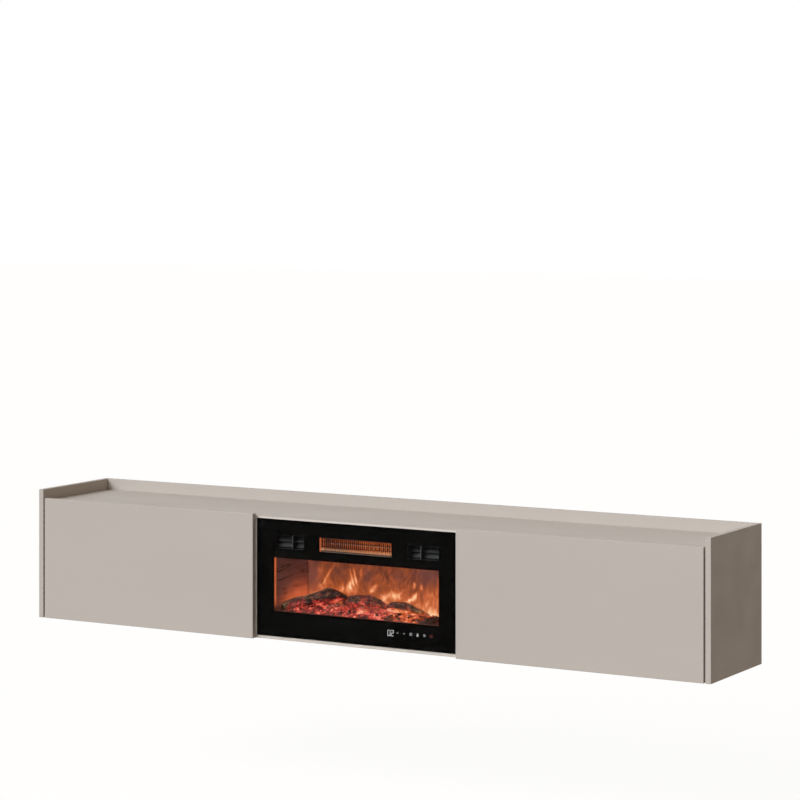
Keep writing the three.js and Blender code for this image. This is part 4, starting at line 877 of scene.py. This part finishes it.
def flame_heat(x, z):
    """Heat of the flame picture at a place on the screen, 0 to 1."""
    # The picture wavers, cools upwards and is cloudy, with thin bright threads
    drift = noise.noise_vector(Vector((x * 32, 3.1, z * 22))) * 0.0034
    wide, up = x + drift.x, z + drift.z
    heat = 0.61 - 0.36 * clamped(up / PICTURE_HEIGHT) ** 0.75
    heat += 0.12 * noise.fractal(Vector((wide * 24, 7.7, up * 15)), 0.9, 2.0, 4)
    bend = noise.noise_vector(Vector((x * 40, 11.3, z * 26))) * 0.30
    thread = 1 - abs(noise.noise(Vector((wide * 62 + bend.x, 5.5, up * 27 + bend.z))))
    heat += 0.12 * max(0.0, thread - 0.55) ** 2 / 0.2
    for points, half_width, gain in TONGUES:
        heat += tongue_heat(wide, up, points, half_width, gain)
    return clamped(heat + bloomed(wide, up, BLOOMS))


def keep_on_points(piece, **values):
    """Keeps named numbers for each point of the mesh."""
    for name, numbers in values.items():
        held = piece.data.attributes.new(name, "FLOAT", "POINT")
        held.data.foreach_set("value", numbers)


def build_flame_screen(look):
    """A dense sheet in the place of the flame screen, which carries the picture's heat."""
    low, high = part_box("flame_screen")
    size = high - low
    screen = primitive("grid", "flame_picture", x_subdivisions=300, y_subdivisions=100, size=1,
                       rotation=(math.pi / 2, 0, 0), location=(0, low.y, (low.z + high.z) / 2),
                       stretch=(size.x, size.z, 1))
    apply_modifier(screen, "SOLIDIFY", thickness=size.y, offset=-1)
    places = [(v.co.x, v.co.z - low.z) for v in screen.data.vertices]
    keep_on_points(
        screen, fire_picture=[flame_heat(x, z) for x, z in places],
        fire_haze=[min(1.0, bloomed(x, z, HAZES)) for x, z in places])
    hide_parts("flame_screen")
    return dress(screen, flame_light(look), "cabinet")


def reshaped(piece, points, **values):
    """Moves the mesh's points, keeps numbers for them and smooths the faces."""
    piece.data.vertices.foreach_set("co", [part for point in points for part in point])
    piece.data.update()
    keep_on_points(piece, **values)
    take_up(piece)
    bpy.ops.object.shade_smooth()


def remeshed_node(node, name, voxel):
    """A copy of a node with an even, fine mesh."""
    piece = copied_node(node, name)
    apply_modifier(piece, "REMESH", mode="VOXEL", voxel_size=voxel, adaptivity=0.0)
    apply_modifier(piece, "SMOOTH", factor=0.5, iterations=2)
    return piece


def furthest(points, place):
    """The point that lies furthest from a place."""
    return max(points, key=lambda point: (point - place).length_squared)


def ember_fade(x, y, front):
    """Share of the glow that is left near the bed's dark front left corner, 0 to 1."""
    return clamped((x + 0.64 * (y - front) + 0.222) / 0.034)


def fire_tint(x):
    """Tint of the firelight at a place across: 0 is pink, 1 is orange."""
    return clamped((x - 0.070) / 0.020)


def build_log(node, look, bed_level, material):
    """A charred log: the modelled solid with bark ridges, a cracked face and broken ends."""
    piece = remeshed_node(node, f"{node}_bark", LOG_VOXEL)
    points = [v.co.copy() for v in piece.data.vertices]
    normals = [v.normal.copy() for v in piece.data.vertices]
    start = furthest(points, points[0])
    end = furthest(points, start)
    if end.x < start.x:
        start, end = end, start
    along = (end - start).normalized()
    across = along.cross(Vector((0, 0, 1))).normalized()
    rise = across.cross(along)
    length = (end - start).length
    face_glow, foot_glow, top_glow = LOG_GLOW[node]
    bed_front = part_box("ember_bed")[0].y
    moved, bark, glow, tint = [], [], [], []
    for point, normal in zip(points, normals):
        offset = point - start
        # Distances along the log, across it and up from its middle line
        t, u, w = offset.dot(along), offset.dot(across), offset.dot(rise)
        ridge = noise.fractal(Vector((t * 24, u * 130, w * 130)), 0.8, 2.1, 3)
        distances, _ = noise.voronoi(Vector((t * 58, u * 100, w * 100)))
        crack = min(1.0, (distances[1] - distances[0]) * 3.2)
        chip = noise.noise(Vector((t * 34, u * 40 + 5, w * 40)))
        split = noise.noise(Vector((3, u * 150, w * 150)))
        ends = max(0.0, 1 - min(t, length - t) / 0.010)
        lift = look.bark_relief * (ridge + 0.8 * chip + 1.6 * ends * split)
        lift -= look.crack_depth * (1 - crack) ** 2
        moved.append(point + normal * lift)
        low_light = clamped(1.15 - (point.z - bed_level) / 0.030)
        facing = min(1.0, max(top_glow, 0.62 - 0.72 * normal.z))
        patch = noise.fractal(Vector((point.x * 30, point.y * 30, point.z * 55)), 0.9, 2.0, 3)
        bark.append(clamped(0.36 + 0.3 * ridge + 0.3 * normal.z - 0.4 * (1 - crack)))
        warmth = foot_glow * low_light + facing * (face_glow + 0.46 * patch)
        warmth += 0.16 * (1 - crack) * (0.3 + low_light)
        glow.append(max(0.0, warmth * (0.2 + 0.8 * ember_fade(point.x, point.y, bed_front))))
        tint.append(fire_tint(point.x))
    reshaped(piece, moved, bark=bark, glow=glow, tint=tint)
    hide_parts(node)
    return dress(piece, material, "cabinet")


def build_ember_bed(look, material):
    """The moulded bed: the modelled solid with cinders raised on its top."""
    low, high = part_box("ember_bed")
    piece = remeshed_node("ember_bed", "ember_bed_cinders", BED_VOXEL)
    moved, glow, tint = [], [], []
    for vertex in piece.data.vertices:
        x, y, z = vertex.co
        upward = vertex.normal.z > 0.1
        distances, _ = noise.voronoi(Vector((x * 78, y * 78, z * 60)))
        lump = 1 - min(1.0, distances[0] * 1.5) ** 2
        swell = noise.fractal(Vector((x * 30, y * 30, 2.2)), 0.9, 2.0, 3)
        edge = min(1.0, (x - low.x) / 0.006, (high.x - x) / 0.006, (y - low.y) / 0.004,
                   (high.y - y) / 0.006)
        top = clamped((z - low.z - 0.004) / 0.006) * max(0.0, edge)
        lift = top * (look.bed_relief * (0.75 * lump - 0.35) + 0.0016 * swell) if upward else 0
        if upward:
            lift += MOUND_HEIGHT * min(1.0, top * 2) * min(1.0, bloomed(x, y, EMBER_MOUNDS))
        moved.append((x, y, z + lift))
        patch = noise.fractal(Vector((x * 36, y * 36, 9.4)), 0.9, 2.0, 3)
        # The glow ends near the right and weakens a little to the left
        fade = ember_fade(x, y, low.y) * clamped((0.196 - x) / 0.03)
        fade *= 0.80 + 0.20 * clamped((x + 0.200) / 0.120)
        glow.append(max(0.0, fade * (0.48 + 0.46 * patch + 0.18 * lump)))
        tint.append(fire_tint(x))
    reshaped(piece, moved, glow=glow, tint=tint)
    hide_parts("ember_bed")
    return dress(piece, material, "cabinet")


def build_coals(look, ground, material):
    """Loose coals: one cracked lump, copied and seated all over the bed."""
    chance = random.Random(look.seed)
    lump = primitive("ico_sphere", "coal_pattern", subdivisions=2, radius=1)
    for vertex in lump.data.vertices:
        dent = noise.fractal(vertex.co * 1.7 + Vector((4, 1, 2)), 0.8, 2.0, 3)
        vertex.co *= 1 + 0.34 * dent
        vertex.co.z *= 0.72
    surface = BVHTree.FromPolygons(
        [v.co.copy() for v in ground.data.vertices], [p.vertices[:] for p in ground.data.polygons])
    low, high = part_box("ember_bed")
    coals = []
    for k in range(look.coal_count):
        x = chance.uniform(low.x + 0.012, high.x - 0.012)
        y = low.y + 0.010 + (high.y - low.y - 0.03) * chance.random() ** 1.5
        spot, normal, _, _ = surface.ray_cast(Vector((x, y, high.z + 0.08)), Vector((0, 0, -1)))
        if spot is None or normal.z < 0.4:
            continue
        size = look.coal_size * chance.uniform(0.55, 1.35)
        coal = linked(f"coal_{k}", lump.data.copy())
        coal.data.transform(
            Matrix.Translation(spot + Vector((0, 0, 0.25 * size)))
            @ Matrix.Rotation(chance.uniform(0, 6.28), 4, Vector((chance.random(), 1, 0.4)))
            @ Matrix.Diagonal((size * chance.uniform(0.8, 1.5), size, size, 1)))
        warmth = 0.75 * chance.random() if -0.205 < x < 0.19 else 0.0
        count = len(coal.data.vertices)
        keep_on_points(coal, glow=[warmth] * count, tint=[fire_tint(x)] * count)
        coals.append(coal)
    bpy.data.objects.remove(lump)
    take_up(coals[0])
    for coal in coals:
        coal.select_set(True)
    bpy.ops.object.join()
    heap = bpy.context.object
    heap.name = heap.data.name = "loose_coals"
    bpy.ops.object.shade_smooth_by_angle(angle=math.radians(35))
    return dress(heap, material, "cabinet")


# Lit signs

# Places from the touch board's lower left corner and the steps between signs, in metres
DIGIT_PLACE, DIGIT_STEP = (0.0124, 0.0152), 0.0100
SIGN_PLACE, SIGN_STEP = (0.0374, 0.0168), 0.0197
SIGN_STROKE = 0.0011
ARC_STEPS = 20
GEAR_POINTS = 32


def drawn(name, strokes, width, depth, closed=False, filled=False):
    """A flat sign drawn with round strokes, or filled: each stroke is a list of places x, z."""
    curve = bpy.data.curves.new(name, "CURVE")
    curve.dimensions = "2D" if filled else "3D"
    curve.fill_mode = "BOTH" if filled else "FULL"
    curve.bevel_resolution = 2
    curve.bevel_depth = 0 if filled else width / 2
    curve.extrude = depth / 2 if filled else 0
    for stroke in strokes:
        line = curve.splines.new("POLY")
        line.points.add(len(stroke) - 1)
        for point, (x, z) in zip(line.points, stroke):
            point.co = (x, z, 0, 1)
        line.use_cyclic_u = closed or filled
    curve.use_fill_caps = not filled
    take_up(linked(name, curve))
    bpy.ops.object.convert(target="MESH")
    piece = bpy.context.object
    if not filled:
        piece.scale = (1, 1, depth / width)
    piece.rotation_euler = (math.pi / 2, 0, 0)
    return settle(piece, name)


def arc(radius, start, end):
    """Places along an arc, with the angles in degrees."""
    places = []
    for k in range(ARC_STEPS + 1):
        angle = math.radians(start + (end - start) * k / ARC_STEPS)
        places.append((radius * math.cos(angle), radius * math.sin(angle)))
    return places


def sign_strokes(size):
    """The six touch signs: name, strokes, whether closed, and whether filled."""
    r = size / 2
    up = [(-0.66 * r, -0.3 * r), (0, 0.38 * r), (0.66 * r, -0.3 * r)]
    down = [(x, -z) for x, z in up]
    gear = []
    for k in range(GEAR_POINTS):
        reach = (0.86 if k % 4 < 2 else 0.68) * r
        angle = 2 * math.pi * k / GEAR_POINTS
        gear.append((reach * math.cos(angle), reach * math.sin(angle)))
    flame = [(0, r), (0.16 * r, 0.52 * r), (0.5 * r, 0.12 * r), (0.6 * r, -0.34 * r),
             (0.36 * r, -0.82 * r), (0, -r), (-0.36 * r, -0.84 * r), (-0.6 * r, -0.38 * r),
             (-0.44 * r, 0.08 * r), (-0.24 * r, 0.26 * r), (-0.16 * r, 0.62 * r)]
    flame = [(1.3 * x, 1.3 * z) for x, z in flame]
    heat = []
    for k in (-1, 0, 1):
        heat.append([(k * 0.5 * r + 0.14 * r * math.sin(3.2 * share * math.pi / 2),
                      (share - 0.5) * 1.5 * r) for share in [n / 12 for n in range(13)]])
    power = [arc(0.8 * r, 125, 415), [(0, 0.25 * r), (0, 0.95 * r)]]
    return (
        ("up_sign", [up], False, False), ("down_sign", [down], False, False),
        ("gear_sign", [gear], True, False), ("flame_sign", [flame], True, True),
        ("heat_sign", heat, False, False), ("power_sign", power, False, False))


def segment(length, thickness, centre, upright):
    """Outline of one pointed bar of a digit."""
    half, tip = length / 2, thickness / 2
    bar = [(-half, 0), (-half + tip, tip), (half - tip, tip), (half, 0), (half - tip, -tip),
           (-half + tip, -tip)]
    if upright:
        bar = [(z, x) for x, z in reversed(bar)]
    return [(centre[0] + x, centre[1] + z) for x, z in bar]


def digit_bars(lit, width, height):
    """Outlines of a digit's lit bars: a top, b and c right, d foot, e and f left, g middle."""
    thick = 0.12 * width
    x, z = (width - thick) / 2, (height - thick) / 4
    across, up = width - thick * 0.75, (height - thick) / 2 - thick * 0.1
    bars = {"a": ((0, 2 * z), False), "b": ((x, z), True), "c": ((x, -z), True),
            "d": ((0, -2 * z), False), "e": ((-x, -z), True), "f": ((-x, z), True),
            "g": ((0, 0), False)}
    return [segment(up if bars[key][1] else across, thick, *bars[key]) for key in lit]


# Stage

SENSOR_WIDTH = 36
# The large soft lamp: its colour, its width as an angle, and the direction from which it shines
KEY_COLOUR, KEY_WIDTH = (0.905, 0.948, 1.0), math.radians(36)
KEY_SIDE = (-0.42, -0.74, 0.52)
ROOM_COLOUR = (1.0, 0.78, 0.58, 1)
# The floor: its width in metres and its colour, and how white it shows to the camera
FLOOR_WIDTH, FLOOR_COLOUR = 60, (0.40, 0.36, 0.31, 1)
FLOOR_WHITE, FLOOR_SHARE = 1.18, 0.8


def add_camera(scene, look):
    """The camera, at the photo's angle."""
    camera = bpy.data.cameras.new("cabinet_camera")
    camera.lens = look.lens
    camera.sensor_width = SENSOR_WIDTH
    camera.shift_y = look.shift
    scene.camera = linked("cabinet_camera", camera)
    scene.camera.location = look.camera_place
    scene.camera.rotation_euler = (math.pi / 2, 0, look.camera_turn)


def add_key_light(look):
    """A large soft lamp from the left of the front."""
    key = bpy.data.lights.new("key_light", "SUN")
    key.energy = look.key_strength
    key.angle = KEY_WIDTH
    key.color = KEY_COLOUR
    lamp = linked("key_light", key)
    lamp.rotation_euler = Vector(KEY_SIDE).to_track_quat("Z", "Y").to_euler()


def output_by_ray(wiring, output, plain, white, share=1.0):
    """Sends a shader to the output, mixed with white where camera, gloss or glass looks."""
    rays = wiring.node("ShaderNodeLightPath").outputs
    seen = rays["Is Camera Ray"]
    for name in ("Is Glossy Ray", "Is Transmission Ray"):
        seen = wiring.sum(seen, rays[name], "MAXIMUM")
    if share < 1:
        seen = wiring.sum(seen, share, "MULTIPLY")
    mix = wiring.node("ShaderNodeMixShader", {0: seen, 1: plain, 2: white}, "Shader")
    wiring.node(output, {"Surface": mix})


def set_world(scene, look):
    """Warm, even room light, and white where the camera, gloss or glass looks past."""
    scene.world = bpy.data.worlds.new("studio")
    scene.world.use_nodes = True
    wiring = Wiring(scene.world.node_tree)
    room, white = (
        wiring.node("ShaderNodeBackground", {"Color": colour, "Strength": strength}, "Background")
        for colour, strength in ((ROOM_COLOUR, look.fill_strength), (WHITE, 1.0)))
    output_by_ray(wiring, "ShaderNodeOutputWorld", room, white)


def lay_floor(look):
    """A wide pale floor that keeps a soft shadow."""
    floor = primitive(
        "plane", "studio_floor", size=FLOOR_WIDTH,
        location=(0, 0, CAD_BOX[0].z - look.floor_drop))
    material = bpy.data.materials.new("studio_floor")
    material.use_nodes = True
    wiring = Wiring(material.node_tree)
    paint = wiring.node("ShaderNodeBsdfDiffuse", {"Color": FLOOR_COLOUR}, "BSDF")
    white = wiring.node(
        "ShaderNodeEmission", {"Color": WHITE, "Strength": FLOOR_WHITE}, "Emission")
    output_by_ray(wiring, "ShaderNodeOutputMaterial", paint, white, FLOOR_SHARE)
    floor.data.materials.append(material)


# Operators: one for each piece or group of like pieces, and one for the stage

class CABINET_OT_boards(bpy.types.Operator):
    """Foil on the carcase and doors, and painted hardboard on the back"""
    bl_idname = "fireplace_cabinet.boards"
    bl_label = "Finish Boards"

    def execute(self, context):
        look = context.scene.cabinet_look
        dress_nodes(
            board_foil(look), "upper_back_rail", "lower_back_rail", "left_door", "right_door",
            "left_side_panel", "right_side_panel")
        # The front edges of these panels get a painted highlight
        dress_nodes(
            board_foil(look, look.edge_highlight), "top_panel", "bottom_panel", "left_partition",
            "right_partition")
        dress_nodes(hardboard(look), "left_back_panel", "right_back_panel")
        return {"FINISHED"}


class CABINET_OT_fittings(bpy.types.Operator):
    """Zinc plate on the hinges, stays and brackets, and plastic on the catches"""
    bl_idname = "fireplace_cabinet.fittings"
    bl_label = "Finish Fittings"

    def execute(self, context):
        zinc = zinc_plate(context.scene.hardware_look)
        for side, _ in SIDES:
            dress_nodes(
                zinc, f"{side}_door_outer_hinge_cup", f"{side}_door_inner_hinge_cup",
                f"{side}_door_outer_hinge_arm", f"{side}_door_inner_hinge_arm",
                f"{side}_stay_arm", f"{side}_stay_post", f"{side}_stay_bracket",
                f"{side}_strike_plate", f"{side}_hanging_bracket")
            dress_nodes(moulded_plastic(f"{side}_catch_plastic", (76, 78, 80), 0.5),
                        f"{side}_magnetic_catch")
        return {"FINISHED"}


class CABINET_OT_screws(bpy.types.Operator):
    """Cross-head screws in the fittings and the rear cover"""
    bl_idname = "fireplace_cabinet.screws"
    bl_label = "Set Screws"

    def execute(self, context):
        look = context.scene.hardware_look
        steel = bare_metal("screw_steel", (188, 188, 184), (0.2, 0.36), (2, 2, 2))
        pattern = screw_pattern(look)
        for k, (name, place, direction, body) in enumerate(screw_places()):
            set_screw(pattern, name, place, direction, 0.7 * k, steel, body)
        bpy.data.objects.remove(pattern)
        return {"FINISHED"}


class CABINET_OT_glass_front(bpy.types.Operator):
    """Clear pane over black print, with the steel frame behind them"""
    bl_idname = "fireplace_cabinet.glass_front"
    bl_label = "Finish Glass Front"

    def execute(self, context):
        dress_nodes(clear_pane(), "front_glass")
        dress_nodes(black_print(), "glass_print")
        dress_nodes(frame_coat(context.scene.fire_look), "front_frame")
        return {"FINISHED"}


class CABINET_OT_firebox(bpy.types.Operator):
    """Printed walls and the flame picture"""
    bl_idname = "fireplace_cabinet.firebox"
    bl_label = "Build Firebox"

    def execute(self, context):
        dress_nodes(firebox_print(context.scene.fire_look), "firebox_liner")
        build_flame_screen(context.scene.fire_look)
        return {"FINISHED"}


class CABINET_OT_embers(bpy.types.Operator):
    """Ember bed, charred logs and loose coals"""
    bl_idname = "fireplace_cabinet.embers"
    bl_label = "Build Logs and Embers"

    def execute(self, context):
        look = context.scene.fire_look
        glow = ember_glow(look)
        bed = build_ember_bed(look, glow)
        build_coals(look, bed, glow)
        char = charcoal(look)
        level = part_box("ember_bed")[0].z + 0.012
        for node in LOG_GLOW:
            build_log(node, look, level, char)
        return {"FINISHED"}


class CABINET_OT_heater(bpy.types.Operator):
    """Grille, duct, element and blower of the heater, and the louvred vents"""
    bl_idname = "fireplace_cabinet.heater"
    bl_label = "Finish Heater"

    def execute(self, context):
        look = context.scene.fire_look
        dress_nodes(heater_wire(look), "heating_element")
        # Painted highlight on the feet of the grille's bars
        grille = painted_light_steel(
            "grille_metal", look, grille_highlight_feet, ((66, 54, 48), (90, 76, 68)),
            ((176, 144, 112), (228, 198, 160)), 0.45)
        dress_nodes(grille, "outlet_grille")
        # Painted firelight from the element on the duct's side walls
        duct = painted_light_steel(
            "duct_steel", look, duct_glow_sides, ((112, 106, 100), (150, 144, 136)),
            ((190, 86, 40), (228, 116, 60)), 0.5)
        dress_nodes(duct, "heater_duct")
        dress_nodes(powder_coat("blower_steel", (86, 88, 90), 0.4, 0.6), "blower_housing")
        dress_nodes(moulded_plastic("vent_plastic", (34, 34, 33), 0.6), "left_vent", "right_vent")
        dress_nodes(moulded_plastic("blower_plastic", (34, 35, 38)), "blower_wheel", "power_gland")
        dress_nodes(powder_coat("motor_can", (92, 94, 96), 0.35, 0.8), "blower_motor")
        return {"FINISHED"}


class CABINET_OT_flame_drive(bpy.types.Operator):
    """Reflecting spindle, its bush and motor, the light strip and the touch board"""
    bl_idname = "fireplace_cabinet.flame_drive"
    bl_label = "Finish Flame Drive"

    def execute(self, context):
        dress_nodes(bare_metal("reflector_metal", (206, 208, 210), (0.1, 0.22)), "flame_spindle")
        dress_nodes(moulded_plastic("drive_plastic", (82, 84, 86)), "spindle_bush", "spindle_motor")
        dress_nodes(solder_board(), "led_strip", "control_board")
        return {"FINISHED"}


class CABINET_OT_casing(bpy.types.Operator):
    """Powder coat on the casing, its cover and its shelf"""
    bl_idname = "fireplace_cabinet.casing"
    bl_label = "Finish Casing"

    def execute(self, context):
        dress_nodes(
            powder_coat("casing_coat", (58, 58, 60)), "casing", "rear_cover", "heater_shelf")
        return {"FINISHED"}


class CABINET_OT_signs(bpy.types.Operator):
    """Two lit digits and six touch signs between the pane and the print"""
    bl_idname = "fireplace_cabinet.signs"
    bl_label = "Light Signs"

    def execute(self, context):
        look = context.scene.sign_look
        pane_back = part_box("front_glass")[1].y
        print_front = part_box("glass_print")[0].y
        y = (pane_back + print_front) / 2
        low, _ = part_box("control_board")
        lit = sign_light("digit_light", look.lit)
        dim = sign_light("touch_light", look.dim)
        power = sign_light("power_light", look.power)
        for k, bars in enumerate(("abcdef", "abged")):
            digit = drawn(f"digit_{k + 1}", digit_bars(bars, look.digit_width, look.digit_height),
                          0, look.thickness, filled=True)
            digit.location = (low.x + DIGIT_PLACE[0] + DIGIT_STEP * k, y, low.z + DIGIT_PLACE[1])
            dress(settle(digit), lit, "cabinet")
        for k, (name, strokes, closed, filled) in enumerate(sign_strokes(look.sign_size)):
            sign = drawn(name, strokes, SIGN_STROKE, look.thickness, closed, filled)
            sign.location = (low.x + SIGN_PLACE[0] + SIGN_STEP * k, y, low.z + SIGN_PLACE[1])
            dress(settle(sign), power if name == "power_sign" else dim, "cabinet")
        return {"FINISHED"}


class CABINET_OT_stage(bpy.types.Operator):
    """Camera, lamps, world and pale floor"""
    bl_idname = "fireplace_cabinet.stage"
    bl_label = "Set Stage"

    def execute(self, context):
        look = context.scene.stage_look
        context.scene.view_settings.view_transform = "Standard"
        add_camera(context.scene, look)
        add_key_light(look)
        set_world(context.scene, look)
        lay_floor(look)
        return {"FINISHED"}


class CABINET_PT_sidebar(bpy.types.Panel):
    """Lists the steps that dress the cabinet, with the sizes and colours they use"""
    bl_idname = "CABINET_PT_sidebar"
    bl_label = "Fireplace Cabinet"
    bl_space_type = "VIEW_3D"
    bl_region_type = "UI"
    bl_category = "Fireplace Cabinet"

    def draw(self, context):
        layout = self.layout
        for operator in STEPS:
            layout.operator(operator.bl_idname)
        for group, _ in LOOKS:
            box = layout.box()
            box.label(text=group.replace("_", " ").capitalize())
            settings = getattr(context.scene, group)
            for key in settings.__annotations__:
                box.prop(settings, key)


LOOKS = (
    ("cabinet_look", CabinetLook), ("hardware_look", HardwareLook), ("fire_look", FireLook),
    ("sign_look", SignLook), ("stage_look", StageLook))
STEPS = (
    CABINET_OT_boards, CABINET_OT_fittings, CABINET_OT_screws, CABINET_OT_glass_front,
    CABINET_OT_firebox, CABINET_OT_embers, CABINET_OT_heater, CABINET_OT_flame_drive,
    CABINET_OT_casing, CABINET_OT_signs, CABINET_OT_stage)


def register():
    """Registers the property groups, the operators and the panel."""
    for name, group in LOOKS:
        bpy.utils.register_class(group)
        setattr(bpy.types.Scene, name, PointerProperty(type=group))
    for part in (*STEPS, CABINET_PT_sidebar):
        bpy.utils.register_class(part)


def unregister():
    """Takes the panel, the operators and the property groups out again."""
    for part in reversed((*STEPS, CABINET_PT_sidebar)):
        bpy.utils.unregister_class(part)
    for name, group in reversed(LOOKS):
        delattr(bpy.types.Scene, name)
        bpy.utils.unregister_class(group)


def main():
    """Dresses the cabinet step by step."""
    register()
    for operator in STEPS:
        category, name = operator.bl_idname.split(".")
        getattr(getattr(bpy.ops, category), name)()


if __name__ == "__main__":
    main()
